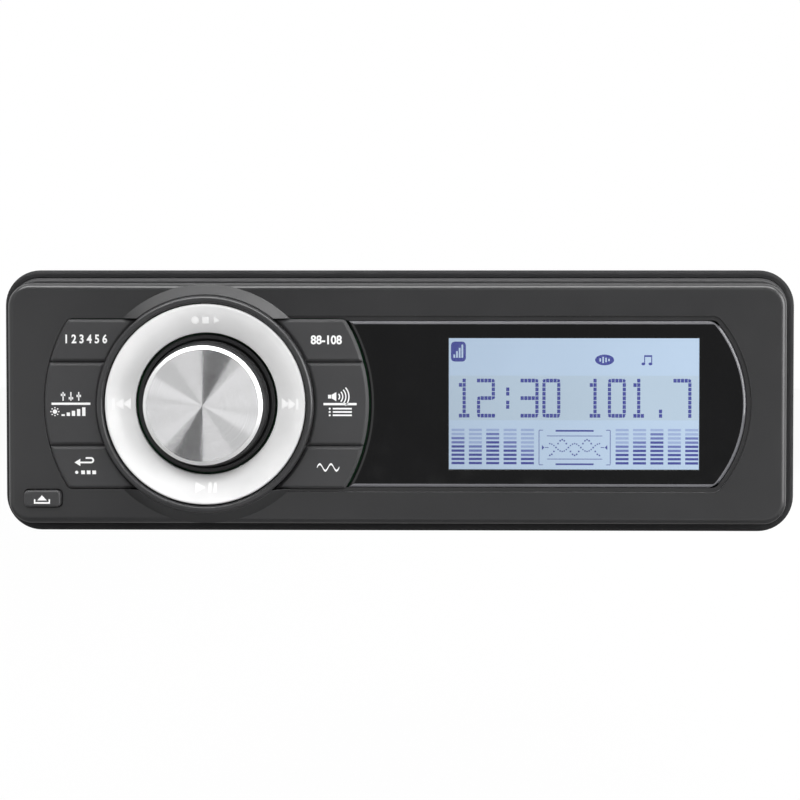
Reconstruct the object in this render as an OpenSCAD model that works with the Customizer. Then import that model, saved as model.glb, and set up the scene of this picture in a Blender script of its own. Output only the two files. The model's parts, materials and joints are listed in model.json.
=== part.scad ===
// Motorcycle stereo of one standard slot height, with a fold-down face.
// Six keys stand round a four-way rocker ring and a turning push knob, a display sits
// behind a dark window, and a locker for a media player opens behind the face.
// Sizes are in millimetres. Every sub-part is drawn face up, with x across the face,
// y up the face and z out of it towards the rider. facing() then stands it upright:
// the face looks along -Y, +Z is up, and the origin is the middle of the mounting plane.

/* [Face] */
// Width of the face
face_w = 188; // [184:0.5:194]
// Height of the face
face_h = 58; // [57:0.5:60]
// Depth of the face from its front to its back cover
face_d = 11.5; // [11.5:0.25:14]
// Corner radius of the face
face_corner_r = 5.5; // [4:0.5:8]
// Round along the front edge of the face
face_edge_r = 1.5; // [0.6:0.1:1.8]
// Side wall of the face
face_wall = 2; // [1.6:0.1:2.4]
// Front skin of the face
skin_t = 2; // [1.6:0.1:2.2]
// Thickness of the face's back cover
back_cover_t = 1.5; // [1:0.1:2]
// How far the back cover stands inside the face's outline
back_cover_inset = 0.6; // [0.5:0.1:1]

/* [Keys] */
// Distance from the left end of the face to the dial's axis
dial_inset = 48.1; // [46:0.1:52]
// Radius of the round field that holds the keys
key_field_r = 39.1; // [37:0.1:40]
// Height of the key field
key_field_h = 40.8; // [38:0.1:41.2]
// Height of the two middle keys
middle_key_h = 19.8; // [16:0.1:22]
// Groove between two keys
key_groove = 0.4; // [0.3:0.1:1.2]
// Bevel round a key's front
key_bevel = 0.7; // [0.2:0.1:0.8]
// Round at a key's outer corner
key_corner_r = 1.8; // [1:0.1:3]
// How far the keys stand out of the face
key_proud = 0.4; // [0:0.1:0.8]
// How far a key can be pressed
key_travel = 0.6; // [0.3:0.1:0.8]

/* [Dial] */
// Radius of the sloping collar where it leaves the face
collar_base_r = 28.9; // [28:0.1:29]
// Radius of the sloping collar at its front
collar_front_r = 26.5; // [26.3:0.1:27]
// How far the collar stands out of the face
collar_proud = 2.3; // [1.5:0.1:3]
// Inner radius of the round wall about the rocker ring
surround_r = 24.5; // [24.4:0.1:25]
// Thickness of that wall
surround_t = 1.6; // [1.4:0.1:1.8]
// How far that wall stands out of the face
surround_proud = 3.4; // [2.6:0.1:4]
// Inner radius of the rocker ring
ring_hole_r = 17.2; // [17:0.1:18]
// How far the outer edge of the rocker ring stands out of the face
ring_proud = 3; // [2:0.1:3.4]
// Depth of the rocker ring's dish
ring_dish = 4; // [3:0.1:4.2]
// Thickness of the bright trim on the rocker ring
ring_trim_t = 1.1; // [0.8:0.1:1.4]
// Distance from the front of the face back to the rocker's pivots
pivot_drop = 3.4; // [3.2:0.1:3.6]
// Radius of the rocker's pivot pins
pivot_r = 0.7; // [0.5:0.05:0.8]

/* [Knob] */
// Radius of the knob's skirt
knob_skirt_r = 15.2; // [14.8:0.1:15.4]
// Radius of the knob where its bright cap begins
knob_cap_r = 14.6; // [14:0.1:14.7]
// Radius of the flat face of the cap
knob_face_r = 13.4; // [12:0.1:13.8]
// How far the knob stands out of the face
knob_proud = 7.5; // [6.5:0.1:10]
// Height of the knob from its open end to its face
knob_h = 7.9; // [7:0.1:8.2]
// Thickness of the cap
knob_cap_t = 1.2; // [1:0.1:1.6]
// How far the knob can be pressed
knob_travel = 0.5; // [0.3:0.1:0.6]
// Radius of the encoder's shaft
shaft_r = 1.5; // [1.2:0.1:1.8]

/* [Window and display] */
// Height of the window
window_h = 40.1; // [38:0.1:41]
// Radius of the window's bulging right end
window_arc_r = 31; // [26:0.5:36]
// Distance from the right end of the face to the window
window_margin = 9.7; // [8.5:0.1:12]
// Gap between the right keys' outer edge and the window
window_key_gap = 0.7; // [0.5:0.1:1]
// Round at the window's two right corners
window_corner_r = 1.8; // [1:0.1:3]
// Bevel round the window's front
window_bevel = 0.35; // [0.2:0.05:0.5]
// Width of the sunk ledge round the window
ledge_w = 1.2; // [0.8:0.1:1.5]
// Depth of that ledge
ledge_d = 0.7; // [0.4:0.1:0.9]
// Width of the display's picture
view_w = 60.4; // [54:0.2:62]
// Height of the display's picture
view_h = 31.8; // [28:0.2:33]
// How far the picture's middle lies right of the middle between the keys and the window's right end
view_shift = 4.15; // [2:0.05:5]
// Border of the display's glass round the picture
glass_border = 1.8; // [1.2:0.1:2]
// Thickness of the display's glass
glass_t = 2.1; // [1.4:0.1:2.3]

/* [Release and latch] */
// Width of the release button
button_w = 8.9; // [8:0.1:10]
// Height of the release button
button_h = 4; // [3.4:0.1:4.4]
// Distance from the left end of the face to the middle of the release button
button_inset = 8.5; // [8.2:0.1:10]
// Distance from the bottom of the face to the middle of the release button
button_rise = 6.1; // [5.8:0.1:6.6]
// How far the release button stands out of the face
button_proud = 1.8; // [1:0.1:2.4]
// How far the release button can be pressed, which is how far it slides the latch
release_travel = 2.2; // [1.9:0.1:2.4]
// Thickness of the latch bar
latch_t = 1.6; // [1.2:0.1:1.8]
// Width of the latch bar
latch_w = 3; // [2.4:0.1:3.2]
// How far a latch hook reaches under its lip
hook_reach = 1.6; // [1.2:0.1:1.7]

/* [Hinge] */
// Distance from the middle of the face to each hinge
hinge_x = 69; // [62:0.5:76]
// Width of a hinge lug
hinge_lug_w = 6; // [4:0.5:8]
// Radius of a hinge pin
hinge_pin_r = 1; // [0.8:0.05:1.1]
// Radius of a hinge lug
hinge_lug_r = 1.8; // [1.7:0.05:1.85]

/* [Frame and gasket] */
// Width that the frame shows at each end of the face
frame_margin_x = 1.5; // [1.2:0.1:2.5]
// Height that the frame shows above and below the face
frame_margin_y = 1.3; // [1.1:0.1:2]
// Thickness of the frame's flange
flange_t = 3.5; // [3.2:0.1:4.5]
// Round along the front edge of the frame
frame_edge_r = 1.2; // [0.4:0.1:1.5]
// Depth of the frame's collar inside the chassis
frame_collar_d = 12; // [8:0.5:18]
// Wall of that collar
frame_collar_t = 2; // [1.4:0.1:2.4]
// Width of the gasket round the frame
gasket_rim = 1.9; // [1.5:0.1:3]
// Thickness of the gasket under the frame
gasket_t = 2.5; // [1.5:0.1:3.5]
// How far the gasket's rim rises beside the frame
gasket_lip = 1.5; // [0.5:0.1:2.2]

/* [Locker] */
// Inner width of the media locker
locker_w = 146; // [120:1:150]
// Inner height of the media locker
locker_h = 32; // [26:0.5:33]
// Inner depth of the media locker
locker_d = 70; // [50:1:76]
// How far the locker's middle lies above the middle of the face
locker_rise = 1; // [0:0.1:1.4]
// Wall of the locker
locker_wall = 1.6; // [1.2:0.1:2]
// Thickness of the locker's foam pad
pad_t = 2; // [1:0.1:4]
// Width of the seal round the locker's mouth
seal_w = 2; // [1.5:0.1:2.2]
// Radius of the headphone-size socket in the locker
jack_bore_r = 1.8; // [1.75:0.05:1.9]

/* [Chassis] */
// Width of the chassis
chassis_w = 178; // [174:0.5:182]
// Height of the chassis
chassis_h = 50; // [49:0.5:52]
// Depth of the chassis behind the mounting plane
chassis_d = 130; // [125:1:165]
// Thickness of the sheet metal
sheet_t = 1; // [0.8:0.1:1.2]
// Radius of the mounting holes in the sides
side_hole_r = 2.1; // [2:0.1:2.6]
// Distance between the mounting holes from front to back
side_hole_pitch_d = 60; // [40:1:70]
// Distance between the mounting holes from bottom to top
side_hole_pitch_h = 20; // [14:1:24]
// Distance from the mounting plane to the first mounting hole
side_hole_start = 35; // [28:1:45]
// Depth of the lip that the top cover tucks inside each wall
cover_lip = 7; // [5:0.5:9]
// Thickness of the main board
main_board_t = 1.6; // [1.2:0.1:2]
// Height of the posts under the main board
standoff_h = 3.1; // [2:0.1:3.2]

/* [Rear] */
// Thickness of the heat sink's base
sink_base_t = 4; // [3:0.5:6]
// Depth of the heat sink's fins
sink_fin_d = 12; // [6:1:20]
// Thickness of a fin
sink_fin_t = 1.6; // [1.2:0.1:2]
// Number of fins
sink_fins = 12; // [8:1:14]
// Radius of the rear stud
stud_r = 2.5; // [2:0.1:3]
// Length of the rear stud behind the rear panel
stud_l = 16; // [12:1:24]
// Radius of the antenna socket's bore
antenna_bore_r = 4.8; // [4:0.1:5]
// Width of the harness plug's opening
harness_w = 40; // [34:1:42]
// Height of the harness plug's opening
harness_h = 18; // [14:1:19]

/* [Clearances] */
// Gap between the closed face and the frame
face_gap = 0.5; // [0.4:0.05:0.8]
// Gap round a part that moves
moving_gap = 0.25; // [0.2:0.05:0.3]
// Gap round a part that is fixed
fixed_gap = 0.15; // [0.1:0.05:0.2]
// Running gap about a pin or shaft
running_gap = 0.05; // [0.03:0.01:0.08]

/* [Hidden] */
$fn = 96;
// Depth by which a cut runs past the face that it opens
over = 1;
// Gap between two parts that all but touch
touch_gap = 0.05;

// Depths, counted forward from the mounting plane
frame_back_z = gasket_t;
frame_front_z = frame_back_z + flange_t;
face_back_z = frame_front_z + face_gap;
cover_front_z = face_back_z + back_cover_t;
face_front_z = face_back_z + face_d;
skin_back_z = face_front_z - skin_t;
slide_gap = 0.2;
latch_back_z = cover_front_z + slide_gap;
latch_front_z = latch_back_z + latch_t;
board_gap = 0.5;
board_t = 1.2;
board_back_z = latch_front_z + board_gap;
board_front_z = board_back_z + board_t;
switch_h = 0.8;
switch_top_z = board_front_z + switch_h;
pivot_z = face_front_z - pivot_drop;

// Places on the face
dial_x = -face_w / 2 + dial_inset;
window_right_x = face_w / 2 - window_margin;
window_arc_x = window_right_x - window_arc_r;
window_left_r = key_field_r + window_key_gap;
window_sink = 0.3;
window_front_z = face_front_z - window_sink;
window_lip_t = 0.75;
window_back_z = skin_back_z - window_lip_t - touch_gap;
view_x = (dial_x + key_field_r + window_right_x) / 2 + view_shift;
glass_w = view_w + 2 * glass_border;
glass_h = view_h + 2 * glass_border;
glass_front_z = window_back_z - slide_gap;
glass_back_z = glass_front_z - glass_t;
button_x = -face_w / 2 + button_inset;
button_y = -face_h / 2 + button_rise;
surround_out_r = surround_r + surround_t;
ring_r = surround_r - moving_gap - touch_gap;
key_inner_r = surround_out_r + moving_gap;

// Keys as [side, middle height, key height], with side -1 to the left of the dial
outer_key_h = (key_field_h - middle_key_h) / 2 - key_groove;
outer_key_y = middle_key_h / 2 + key_groove + outer_key_h / 2;
key_root = 1.3;
key_back_z = skin_back_z - key_root;
key_post_r = 1.6;
function key_post_x(y) = (sqrt(pow(key_inner_r, 2) - y * y) + sqrt(pow(key_field_r, 2) - y * y)) / 2;
key_rows = [outer_key_y, 0, -outer_key_y];
rocker_foot_inset = 1.1;
rocker_foot_r = ring_r - rocker_foot_inset;
rocker_foot_turn = 10;
rocker_switches = [for (turn = [rocker_foot_turn, 90, 180 - rocker_foot_turn, 270])
    [rocker_foot_r * cos(turn), rocker_foot_r * sin(turn)]];
key_switches = [for (side = [-1, 1], y = key_rows) [side * key_post_x(y), y]];

// Rocker ring and its gimbal
ring_edge_z = face_front_z + ring_proud;
ring_hole_z = ring_edge_z - ring_dish;
carrier_t = 0.8;
carrier_skirt_t = 1.4;
carrier_rise = 1.2;
carrier_skirt_z = pivot_z + pivot_r + carrier_rise;
pivot_lug_w = 4.4;
pivot_wall = 0.5;
pivot_lug_drop = pivot_r + pivot_wall;
gimbal_gap = 1.6;
gimbal_w = 2.2;
gimbal_out_r = ring_r - carrier_skirt_t - gimbal_gap;
gimbal_in_r = gimbal_out_r - gimbal_w;
rocker_stroke = 0.85;

// Knob and encoder
knob_front_z = face_front_z + knob_proud;
knob_open_z = knob_front_z - knob_h;
knob_roof_z = knob_front_z - knob_cap_t;
knob_roof_t = 1.5;
knob_wall = 2.2;
encoder_w = 12.4;
encoder_h = 4.5;
encoder_floor = 0.4;
plunger_wall = 1;
plunger_r = shaft_r + running_gap + plunger_wall;
plunger_end_gap = 0.1;
plunger_end_z = board_front_z + encoder_floor + knob_travel + plunger_end_gap;
bush_wall = 1.1;
bush_h = 3;
bush_r = plunger_r + running_gap + bush_wall;
bush_front_z = board_front_z + encoder_h + bush_h;
plunger_front_z = bush_front_z + knob_travel;
shaft_collar_t = 0.6;
shaft_collar_z = plunger_front_z + running_gap;
shaft_end_z = knob_roof_z - 2 * fixed_gap;
sleeve_gap = 0.6;
sleeve_r = ring_hole_r - sleeve_gap;
sleeve_t = 0.9;
sleeve_front_z = knob_open_z - knob_travel - sleeve_gap;

// Release button and latch
stem_w = 4;
stem_tip = 0.5;
stem_t = 2;
stem_offset = 3;
stem_left_x = button_x - stem_offset;
stem_end_gap = 0.3;
stem_tip_z = cover_front_z + stem_end_gap + release_travel;
button_root = 1;
button_back_z = skin_back_z - button_root;
button_corner_r = 1;
latch_leg_offset = 1.5;
latch_leg_x = button_x - latch_leg_offset;
latch_drop = 6;
latch_y = face_h / 2 - latch_drop;
latch_end_x = 56;
hook_w = 2.5;
hook_t = 2;
hook_end_inset = 6;
first_hook_x = -60;
hook_xs = [first_hook_x, latch_end_x - hook_end_inset];
lip_t = 1.1;
hook_gap = 0.3;
hook_nose_front_z = frame_front_z - lip_t - hook_gap;
hook_nose_t = 1.4;
hook_end_z = hook_nose_front_z - hook_nose_t;
spring_l = 8;
spring_bends = 6;
spring_wire = 0.35;
spring_stop_t = 1.5;

// Hinge
hinge_y = -face_h / 2 + hinge_lug_r;
hinge_rise = 3.3;
hinge_z = face_back_z + hinge_rise;
hinge_pocket_w = hinge_lug_w + 2 * moving_gap;
hinge_cheek_w = 2.4;
hinge_cheek_wall = 1.3;
hinge_cheek_r = hinge_pin_r + hinge_cheek_wall;
hinge_pin_half_l = hinge_pocket_w / 2 + hinge_cheek_w;

// Screws
face_screw_inset = 4.2;
low_screw_dial_gap = 30;
low_screw_hinge_gap = 20;
face_screw_x = face_w / 2 - face_screw_inset;
face_screw_y = face_h / 2 - face_screw_inset;
face_screws_at = [[-face_screw_x, face_screw_y], [face_screw_x, face_screw_y],
    [dial_x + low_screw_dial_gap, -face_screw_y], [hinge_x - low_screw_hinge_gap, -face_screw_y]];
face_screw_r = 0.65;
face_screw_head_r = 1.4;
face_screw_head_t = 0.9;
face_boss_r = 2;
face_boss_floor = 1.5;
face_screw_tip_gap = 3;
screw_slot = 0.4;
machine_screw_r = 1.4;
machine_head_r = 2.4;
machine_head_t = 0.9;
screw_tip = 1;

// Frame and gasket
frame_w = face_w + 2 * frame_margin_x;
frame_h = face_h + 2 * frame_margin_y;
frame_corner_r = face_corner_r + frame_margin_y;
gasket_w = frame_w + 2 * gasket_rim;
gasket_h = frame_h + 2 * gasket_rim;
gasket_corner_r = frame_corner_r + gasket_rim;
gasket_edge_r = 1.1;
frame_collar_w = chassis_w - 2 * sheet_t - 2 * fixed_gap;
frame_collar_h = chassis_h - 2 * sheet_t - 2 * fixed_gap;

// Locker, with its mouth in the frame
locker_corner_r = 3;
seal_offset = 2;
seal_sink = 1;
locker_back_z = frame_back_z - locker_d;
locker_floor_y = locker_rise - locker_h / 2;
jack_inset = 18;
jack_rise = 5;
jack_x = locker_w / 2 - jack_inset;
jack_y = locker_rise + jack_rise;
jack_wall = 1.2;
jack_body_r = jack_bore_r + jack_wall;
jack_flange_t = 1.5;
jack_flange_r = jack_body_r + jack_flange_t;
jack_l = 14;
jack_floor = 1;
connector_x = (locker_w / 2 + seal_offset + seal_w + face_w / 2 - face_wall) / 2;
connector_w = 6;
connector_h = 18;
connector_corner_r = 0.5;
contacts = 9;

// Chassis, counted back from the mounting plane
side_x = chassis_w / 2 - sheet_t;
floor_y = -chassis_h / 2 + sheet_t;
roof_y = chassis_h / 2 - sheet_t;
rear_z = -chassis_d;
fold_r = 1.4;
cover_edge_r = 0.7;
rear_in_z = rear_z + sheet_t;
board_rear_gap = 1.3;
board_rear_z = rear_in_z + board_rear_gap;
board_front_gap = 4;
board_start_z = -frame_collar_d - board_front_gap;
board_bottom_y = floor_y + standoff_h;
board_top_y = board_bottom_y + main_board_t;
board_side_gap = 3;
main_board_w = 2 * (side_x - board_side_gap);
standoff_r = 3;
standoff_inset = 6;
standoffs = [for (sx = [-1, 1], z = [board_start_z - standoff_inset, board_rear_z + standoff_inset])
    [sx * (main_board_w / 2 - standoff_inset), z]];
side_screw_gap = 6;
side_screw_inset = 10;
side_screw_front_z = -frame_collar_d - side_screw_gap;
side_screw_rear_z = rear_z + side_screw_inset;
side_screw_zs = [side_screw_front_z, (side_screw_front_z + side_screw_rear_z) / 2, side_screw_rear_z];
frame_screw_z = -frame_collar_d / 2;
frame_screw_y = 12;
rear_screw_y = 12;
rear_tab_d = 9;
rear_screw_z = rear_in_z + rear_tab_d / 2;

// Things on the rear panel
sink_inset = 42;
sink_x = side_x - sink_inset;
sink_w = 72;
sink_h = 42;
sink_ear = 5;
sink_screws_at = [for (sx = [-1, 1], sy = [-1, 1])
    [sink_x + sx * (sink_w - sink_ear) / 2, sy * (sink_h / 2 - sink_ear)]];
stud_x = -6;
stud_y = 12;
stud_head_r = 5;
stud_head_t = 1.6;
stud_nut_r = 4.6;
stud_nut_t = 4;
antenna_inset = 16;
antenna_x = antenna_inset - side_x;
antenna_y = 11;
antenna_wall = 1.6;
antenna_out = 10;
antenna_in = 5;
harness_inset = 50;
harness_x = harness_inset - side_x;
harness_wall = 2;
harness_y = board_top_y + harness_h / 2 + harness_wall + fixed_gap;
harness_out = 7;
harness_in = 7;
harness_floor = 2;
harness_pins_per_row = 8;
harness_pin_w = 1.4;
harness_pin_l = 6;
fuse_inset = 14;
fuse_x = fuse_inset - side_x;
fuse_y = -11;
fuse_w = 18.6;
fuse_t = 4.8;
fuse_h = 9;
fuse_blade_w = 5;
fuse_blade_t = 0.7;
fuse_blade_l = 7;
fuse_blade_inset = 1;
fuse_blade_x = fuse_w / 2 - fuse_blade_w / 2 - fuse_blade_inset;
fuse_waist_h = 5.4;
fuse_holder_out = 3;
fuse_holder_in = 7;
fuse_holder_wall = 1.6;
amp_x = sink_x;
amp_w = 30;
amp_h = 18;
amp_y = -3;
amp_t = 4.6;
amp_legs = 9;

// Tall parts on the main board, which stand behind the locker
capacitor_inset = 70;
capacitor_x = side_x - capacitor_inset;
capacitor_gap = 2;
capacitor_rear_gap = 28;
capacitor_z = rear_in_z + capacitor_rear_gap;
choke_inset = 16;
choke_x = side_x - choke_inset;
choke_rear_gap = 26;
choke_z = rear_in_z + choke_rear_gap;
tuner_size = [36, 11, 30];
tuner_inset = 26;
tuner_rear_gap = 14;
tuner_from = [tuner_inset - side_x, board_top_y, rear_in_z + tuner_rear_gap];
processor_w = 14;
processor_gap = 4;
processor_start_z = locker_back_z - locker_wall - processor_gap - processor_w;

// Stands a sub-part upright
module facing() {
    rotate([90, 0, 0]) children();
}

// Gives an outline its depth from z0 forward to z1
module slab(z0, z1) {
    translate([0, 0, z0]) linear_extrude(z1 - z0) children();
}

// Box from one corner to the opposite one
module block(from, to) {
    translate(from) cube(to - from);
}

// Cylinder along x from x0 to x1
module rod_x(x0, x1, y, z, r) {
    translate([x0, y, z]) rotate([0, 90, 0]) cylinder(h = x1 - x0, r = r);
}

// Cylinder along y from y0 to y1
module rod_y(x, y0, y1, z, r) {
    translate([x, y0, z]) rotate([-90, 0, 0]) cylinder(h = y1 - y0, r = r);
}

// Cylinder along z from z0 to z1
module rod_z(x, y, z0, z1, r) {
    translate([x, y, z0]) cylinder(h = z1 - z0, r = r);
}

module rounded_rect(w, h, r) {
    square([w - 2 * r, h], center = true);
    square([w, h - 2 * r], center = true);
    for (sx = [-1, 1], sy = [-1, 1])
        translate([sx * (w / 2 - r), sy * (h / 2 - r)]) circle(r);
}

// Slot along y with round ends
module slot(w, l) {
    square([w, l - w], center = true);
    for (end = [-1, 1]) translate([0, end * (l - w) / 2]) circle(w / 2);
}

// Section across half a slab, square at the back and round at the front of its outer edge
module rim_section(reach, depth, edge_r) {
    square([reach - edge_r, depth]);
    square([reach, depth - edge_r]);
    translate([reach - edge_r, depth - edge_r]) intersection() {
        circle(edge_r);
        square(edge_r);
    }
}

// Bar along x of the given length, with both front edges round
module soft_bar(length, w, depth, edge_r) {
    rotate([90, 0, 90]) translate([0, 0, -length / 2]) linear_extrude(length) {
        rim_section(w / 2, depth, edge_r);
        mirror([1, 0]) rim_section(w / 2, depth, edge_r);
    }
}

// Slab with round corners whose front edge is round all the way about
module soft_slab(w, h, corner_r, depth, edge_r) {
    soft_bar(w - 2 * corner_r, h, depth, edge_r);
    rotate(90) soft_bar(h - 2 * corner_r, w, depth, edge_r);
    for (sx = [-1, 1], sy = [-1, 1])
        translate([sx * (w / 2 - corner_r), sy * (h / 2 - corner_r), 0])
            rotate_extrude() rim_section(corner_r, depth, edge_r);
}

// What a round of radius r takes off where a circle about the origin meets a line at height y
module corner_waste(circle_r, y, r) {
    mid = [sqrt(pow(circle_r - r, 2) - pow(y - r, 2)), y - r];
    line_end = [mid[0], y + over];
    arc_end = mid * (circle_r + over) / (circle_r - r);
    difference() {
        polygon([mid, line_end, [arc_end[0] + over, y + over], arc_end]);
        translate(mid) circle(r);
    }
}

// The same at the upper and lower edge of a band, on the given sides of the circle
module corner_wastes(circle_r, half_h, r, sides) {
    for (side = sides, up = [-1, 1])
        scale([side, up]) corner_waste(circle_r, half_h, r);
}

// All that lies right of the dial's axis inside the window's outline grown by grow
module window_field(grow) {
    half_h = window_h / 2 + grow;
    difference() {
        intersection() {
            translate([dial_x, -half_h]) square([window_right_x + grow - dial_x, 2 * half_h]);
            union() {
                translate([dial_x, -window_h]) square([window_arc_x - dial_x, 2 * window_h]);
                translate([window_arc_x, 0]) circle(window_arc_r + grow);
            }
        }
        translate([window_arc_x, 0]) corner_wastes(window_arc_r + grow, half_h, window_corner_r + grow, [1]);
    }
}

// Cut through the skin for the keys and the window
module control_opening() {
    half_h = key_field_h / 2 + moving_gap;
    field_r = key_field_r + moving_gap;
    translate([dial_x, 0]) difference() {
        intersection() {
            circle(field_r);
            translate([-field_r, -half_h]) square([2 * field_r, 2 * half_h]);
        }
        corner_wastes(field_r, half_h, key_corner_r + moving_gap, [-1, 1]);
    }
    window_field(fixed_gap);
}

// Space that a hinge lug turns in
module hinge_pocket(side) {
    half_w = hinge_pocket_w / 2;
    room = hinge_lug_r + 2 * moving_gap;
    block([side * hinge_x - half_w, -face_h / 2 - over, face_back_z - over],
        [side * hinge_x + half_w, hinge_y + room, hinge_z + room]);
}

// Cheeks that hold a hinge pin on both sides of its pocket
module hinge_cheeks(side) {
    for (end = [-1, 1]) {
        near_x = side * hinge_x + end * hinge_pocket_w / 2;
        far_x = near_x + end * hinge_cheek_w;
        x0 = min(near_x, far_x);
        x1 = max(near_x, far_x);
        difference() {
            union() {
                rod_x(x0, x1, hinge_y, hinge_z, hinge_cheek_r);
                block([x0, hinge_y, cover_front_z], [x1, hinge_y + hinge_cheek_r, hinge_z]);
            }
            block([x0 - over, -face_h, 0], [x1 + over, -face_h / 2 + face_wall / 2, face_front_z]);
            block([x0 - over, -face_h, 0], [x1 + over, face_h, cover_front_z]);
            rod_x(x0 - over, x1 + over, hinge_y, hinge_z, hinge_pin_r + running_gap / 2);
        }
    }
}

// Lugs under the surround, where the gimbal's outer pins turn
module surround_lugs() {
    lug_end_z = pivot_z - pivot_lug_drop;
    difference() {
        intersection() {
            slab(lug_end_z, skin_back_z) difference() {
                circle(surround_out_r);
                circle(surround_r);
            }
            block([-surround_out_r, -pivot_lug_w / 2, lug_end_z],
                [surround_out_r, pivot_lug_w / 2, skin_back_z]);
        }
        rod_x(-surround_out_r - over, surround_out_r + over, 0, pivot_z, pivot_r + running_gap);
    }
}

// Face: moulded shell with its collar, surround, ledge and openings
module face_panel() {
    crest_r = surround_t / 2;
    color("#47484a") facing() {
        difference() {
            union() {
                translate([0, 0, cover_front_z])
                    soft_slab(face_w, face_h, face_corner_r, face_front_z - cover_front_z, face_edge_r);
                translate([dial_x, 0, 0]) rotate_extrude() polygon([
                    [surround_r, skin_back_z], [collar_base_r, skin_back_z],
                    [collar_base_r, face_front_z], [collar_front_r, face_front_z + collar_proud],
                    [surround_r, face_front_z + collar_proud]]);
            }
            slab(cover_front_z - over, skin_back_z)
                rounded_rect(face_w - 2 * face_wall, face_h - 2 * face_wall, face_corner_r - face_wall);
            slab(skin_back_z - over, face_front_z + collar_proud + over) control_opening();
            slab(face_front_z - ledge_d, face_front_z + collar_proud + over) difference() {
                window_field(ledge_w);
                translate([dial_x, 0]) circle(collar_base_r);
            }
            rod_z(dial_x, 0, skin_back_z - over, face_front_z + collar_proud + over, surround_r);
            translate([button_x, button_y, 0]) slab(skin_back_z - over, face_front_z + over)
                rounded_rect(button_w + 2 * moving_gap, button_h + 2 * moving_gap,
                    button_corner_r + moving_gap);
            for (side = [-1, 1]) {
                hinge_pocket(side);
                rod_x(side * hinge_x - hinge_pin_half_l, side * hinge_x + hinge_pin_half_l, hinge_y, hinge_z,
                    hinge_pin_r + running_gap / 2);
            }
        }
        translate([dial_x, 0, 0]) {
            rotate_extrude() {
                translate([surround_r, skin_back_z])
                    square([surround_t, skin_t + surround_proud - crest_r]);
                translate([surround_r + crest_r, face_front_z + surround_proud - crest_r]) circle(crest_r);
            }
            surround_lugs();
        }
        for (side = [-1, 1]) hinge_cheeks(side);
        for (at = face_screws_at) translate(at) difference() {
            rod_z(0, 0, cover_front_z, skin_back_z, face_boss_r);
            rod_z(0, 0, cover_front_z - over, skin_back_z - face_boss_floor, face_screw_r);
        }
    }
}

// Room for a latch hook at x to slide in, from x0 to the end of its travel
module hook_slot(x0, x, z0, z1) {
    half_h = hook_t / 2 + hook_gap;
    block([x0, latch_y - half_h, z0], [x + hook_w + release_travel + hook_gap, latch_y + half_h, z1]);
}

// Outline of the contact blocks, grown by grow
module connector_outline(grow) {
    translate([connector_x, 0])
        rounded_rect(connector_w + 2 * grow, connector_h + 2 * grow, connector_corner_r);
}

// Back cover of the face, with slots for the latch hooks and the connector, and sunk fields
// between ribs that press on whatever lies in the locker
module face_back_cover() {
    cover_sink = 0.6;
    cover_fields = 4;
    cover_rib = 2.5;
    field_pitch = locker_w / cover_fields;
    color("#2b2c2e") facing() {
        difference() {
            slab(face_back_z, cover_front_z) rounded_rect(face_w - 2 * back_cover_inset,
                face_h - 2 * back_cover_inset, face_corner_r - back_cover_inset);
            for (side = [-1, 1]) hinge_pocket(side);
            for (x = hook_xs)
                hook_slot(x - hook_reach - hook_gap, x, face_back_z - over, cover_front_z + over);
            slab(face_back_z - over, cover_front_z + over) connector_outline(fixed_gap);
            slab(face_back_z - over, face_back_z + cover_sink) translate([0, locker_rise])
                for (i = [1:cover_fields])
                    translate([(i - (cover_fields + 1) / 2) * field_pitch, 0])
                        rounded_rect(field_pitch - cover_rib, locker_h - 2 * cover_rib, locker_corner_r);
            for (at = face_screws_at) {
                rod_z(at[0], at[1], face_back_z - over, cover_front_z + over, face_screw_r + fixed_gap);
                rod_z(at[0], at[1], face_back_z - over, face_back_z + face_screw_head_t,
                    face_screw_head_r + fixed_gap);
            }
        }
        block([latch_end_x + spring_l, latch_y - latch_w / 2, cover_front_z],
            [latch_end_x + spring_l + spring_stop_t, latch_y + latch_w / 2, latch_front_z]);
    }
}

module face_screws() {
    color("#6d7074") facing() for (at = face_screws_at)
        translate(at) {
            rod_z(0, 0, face_back_z + face_screw_head_t, skin_back_z - face_screw_tip_gap, face_screw_r);
            difference() {
                rod_z(0, 0, face_back_z + touch_gap, face_back_z + face_screw_head_t, face_screw_head_r);
                translate([-face_screw_head_r, -screw_slot / 2, face_back_z - over])
                    cube([2 * face_screw_head_r, screw_slot, over + screw_slot]);
            }
        }
}

module hinge_pins() {
    color("#9a9da0") facing() for (side = [-1, 1])
        rod_x(side * hinge_x - hinge_pin_half_l, side * hinge_x + hinge_pin_half_l, hinge_y, hinge_z,
            hinge_pin_r);
}

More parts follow.
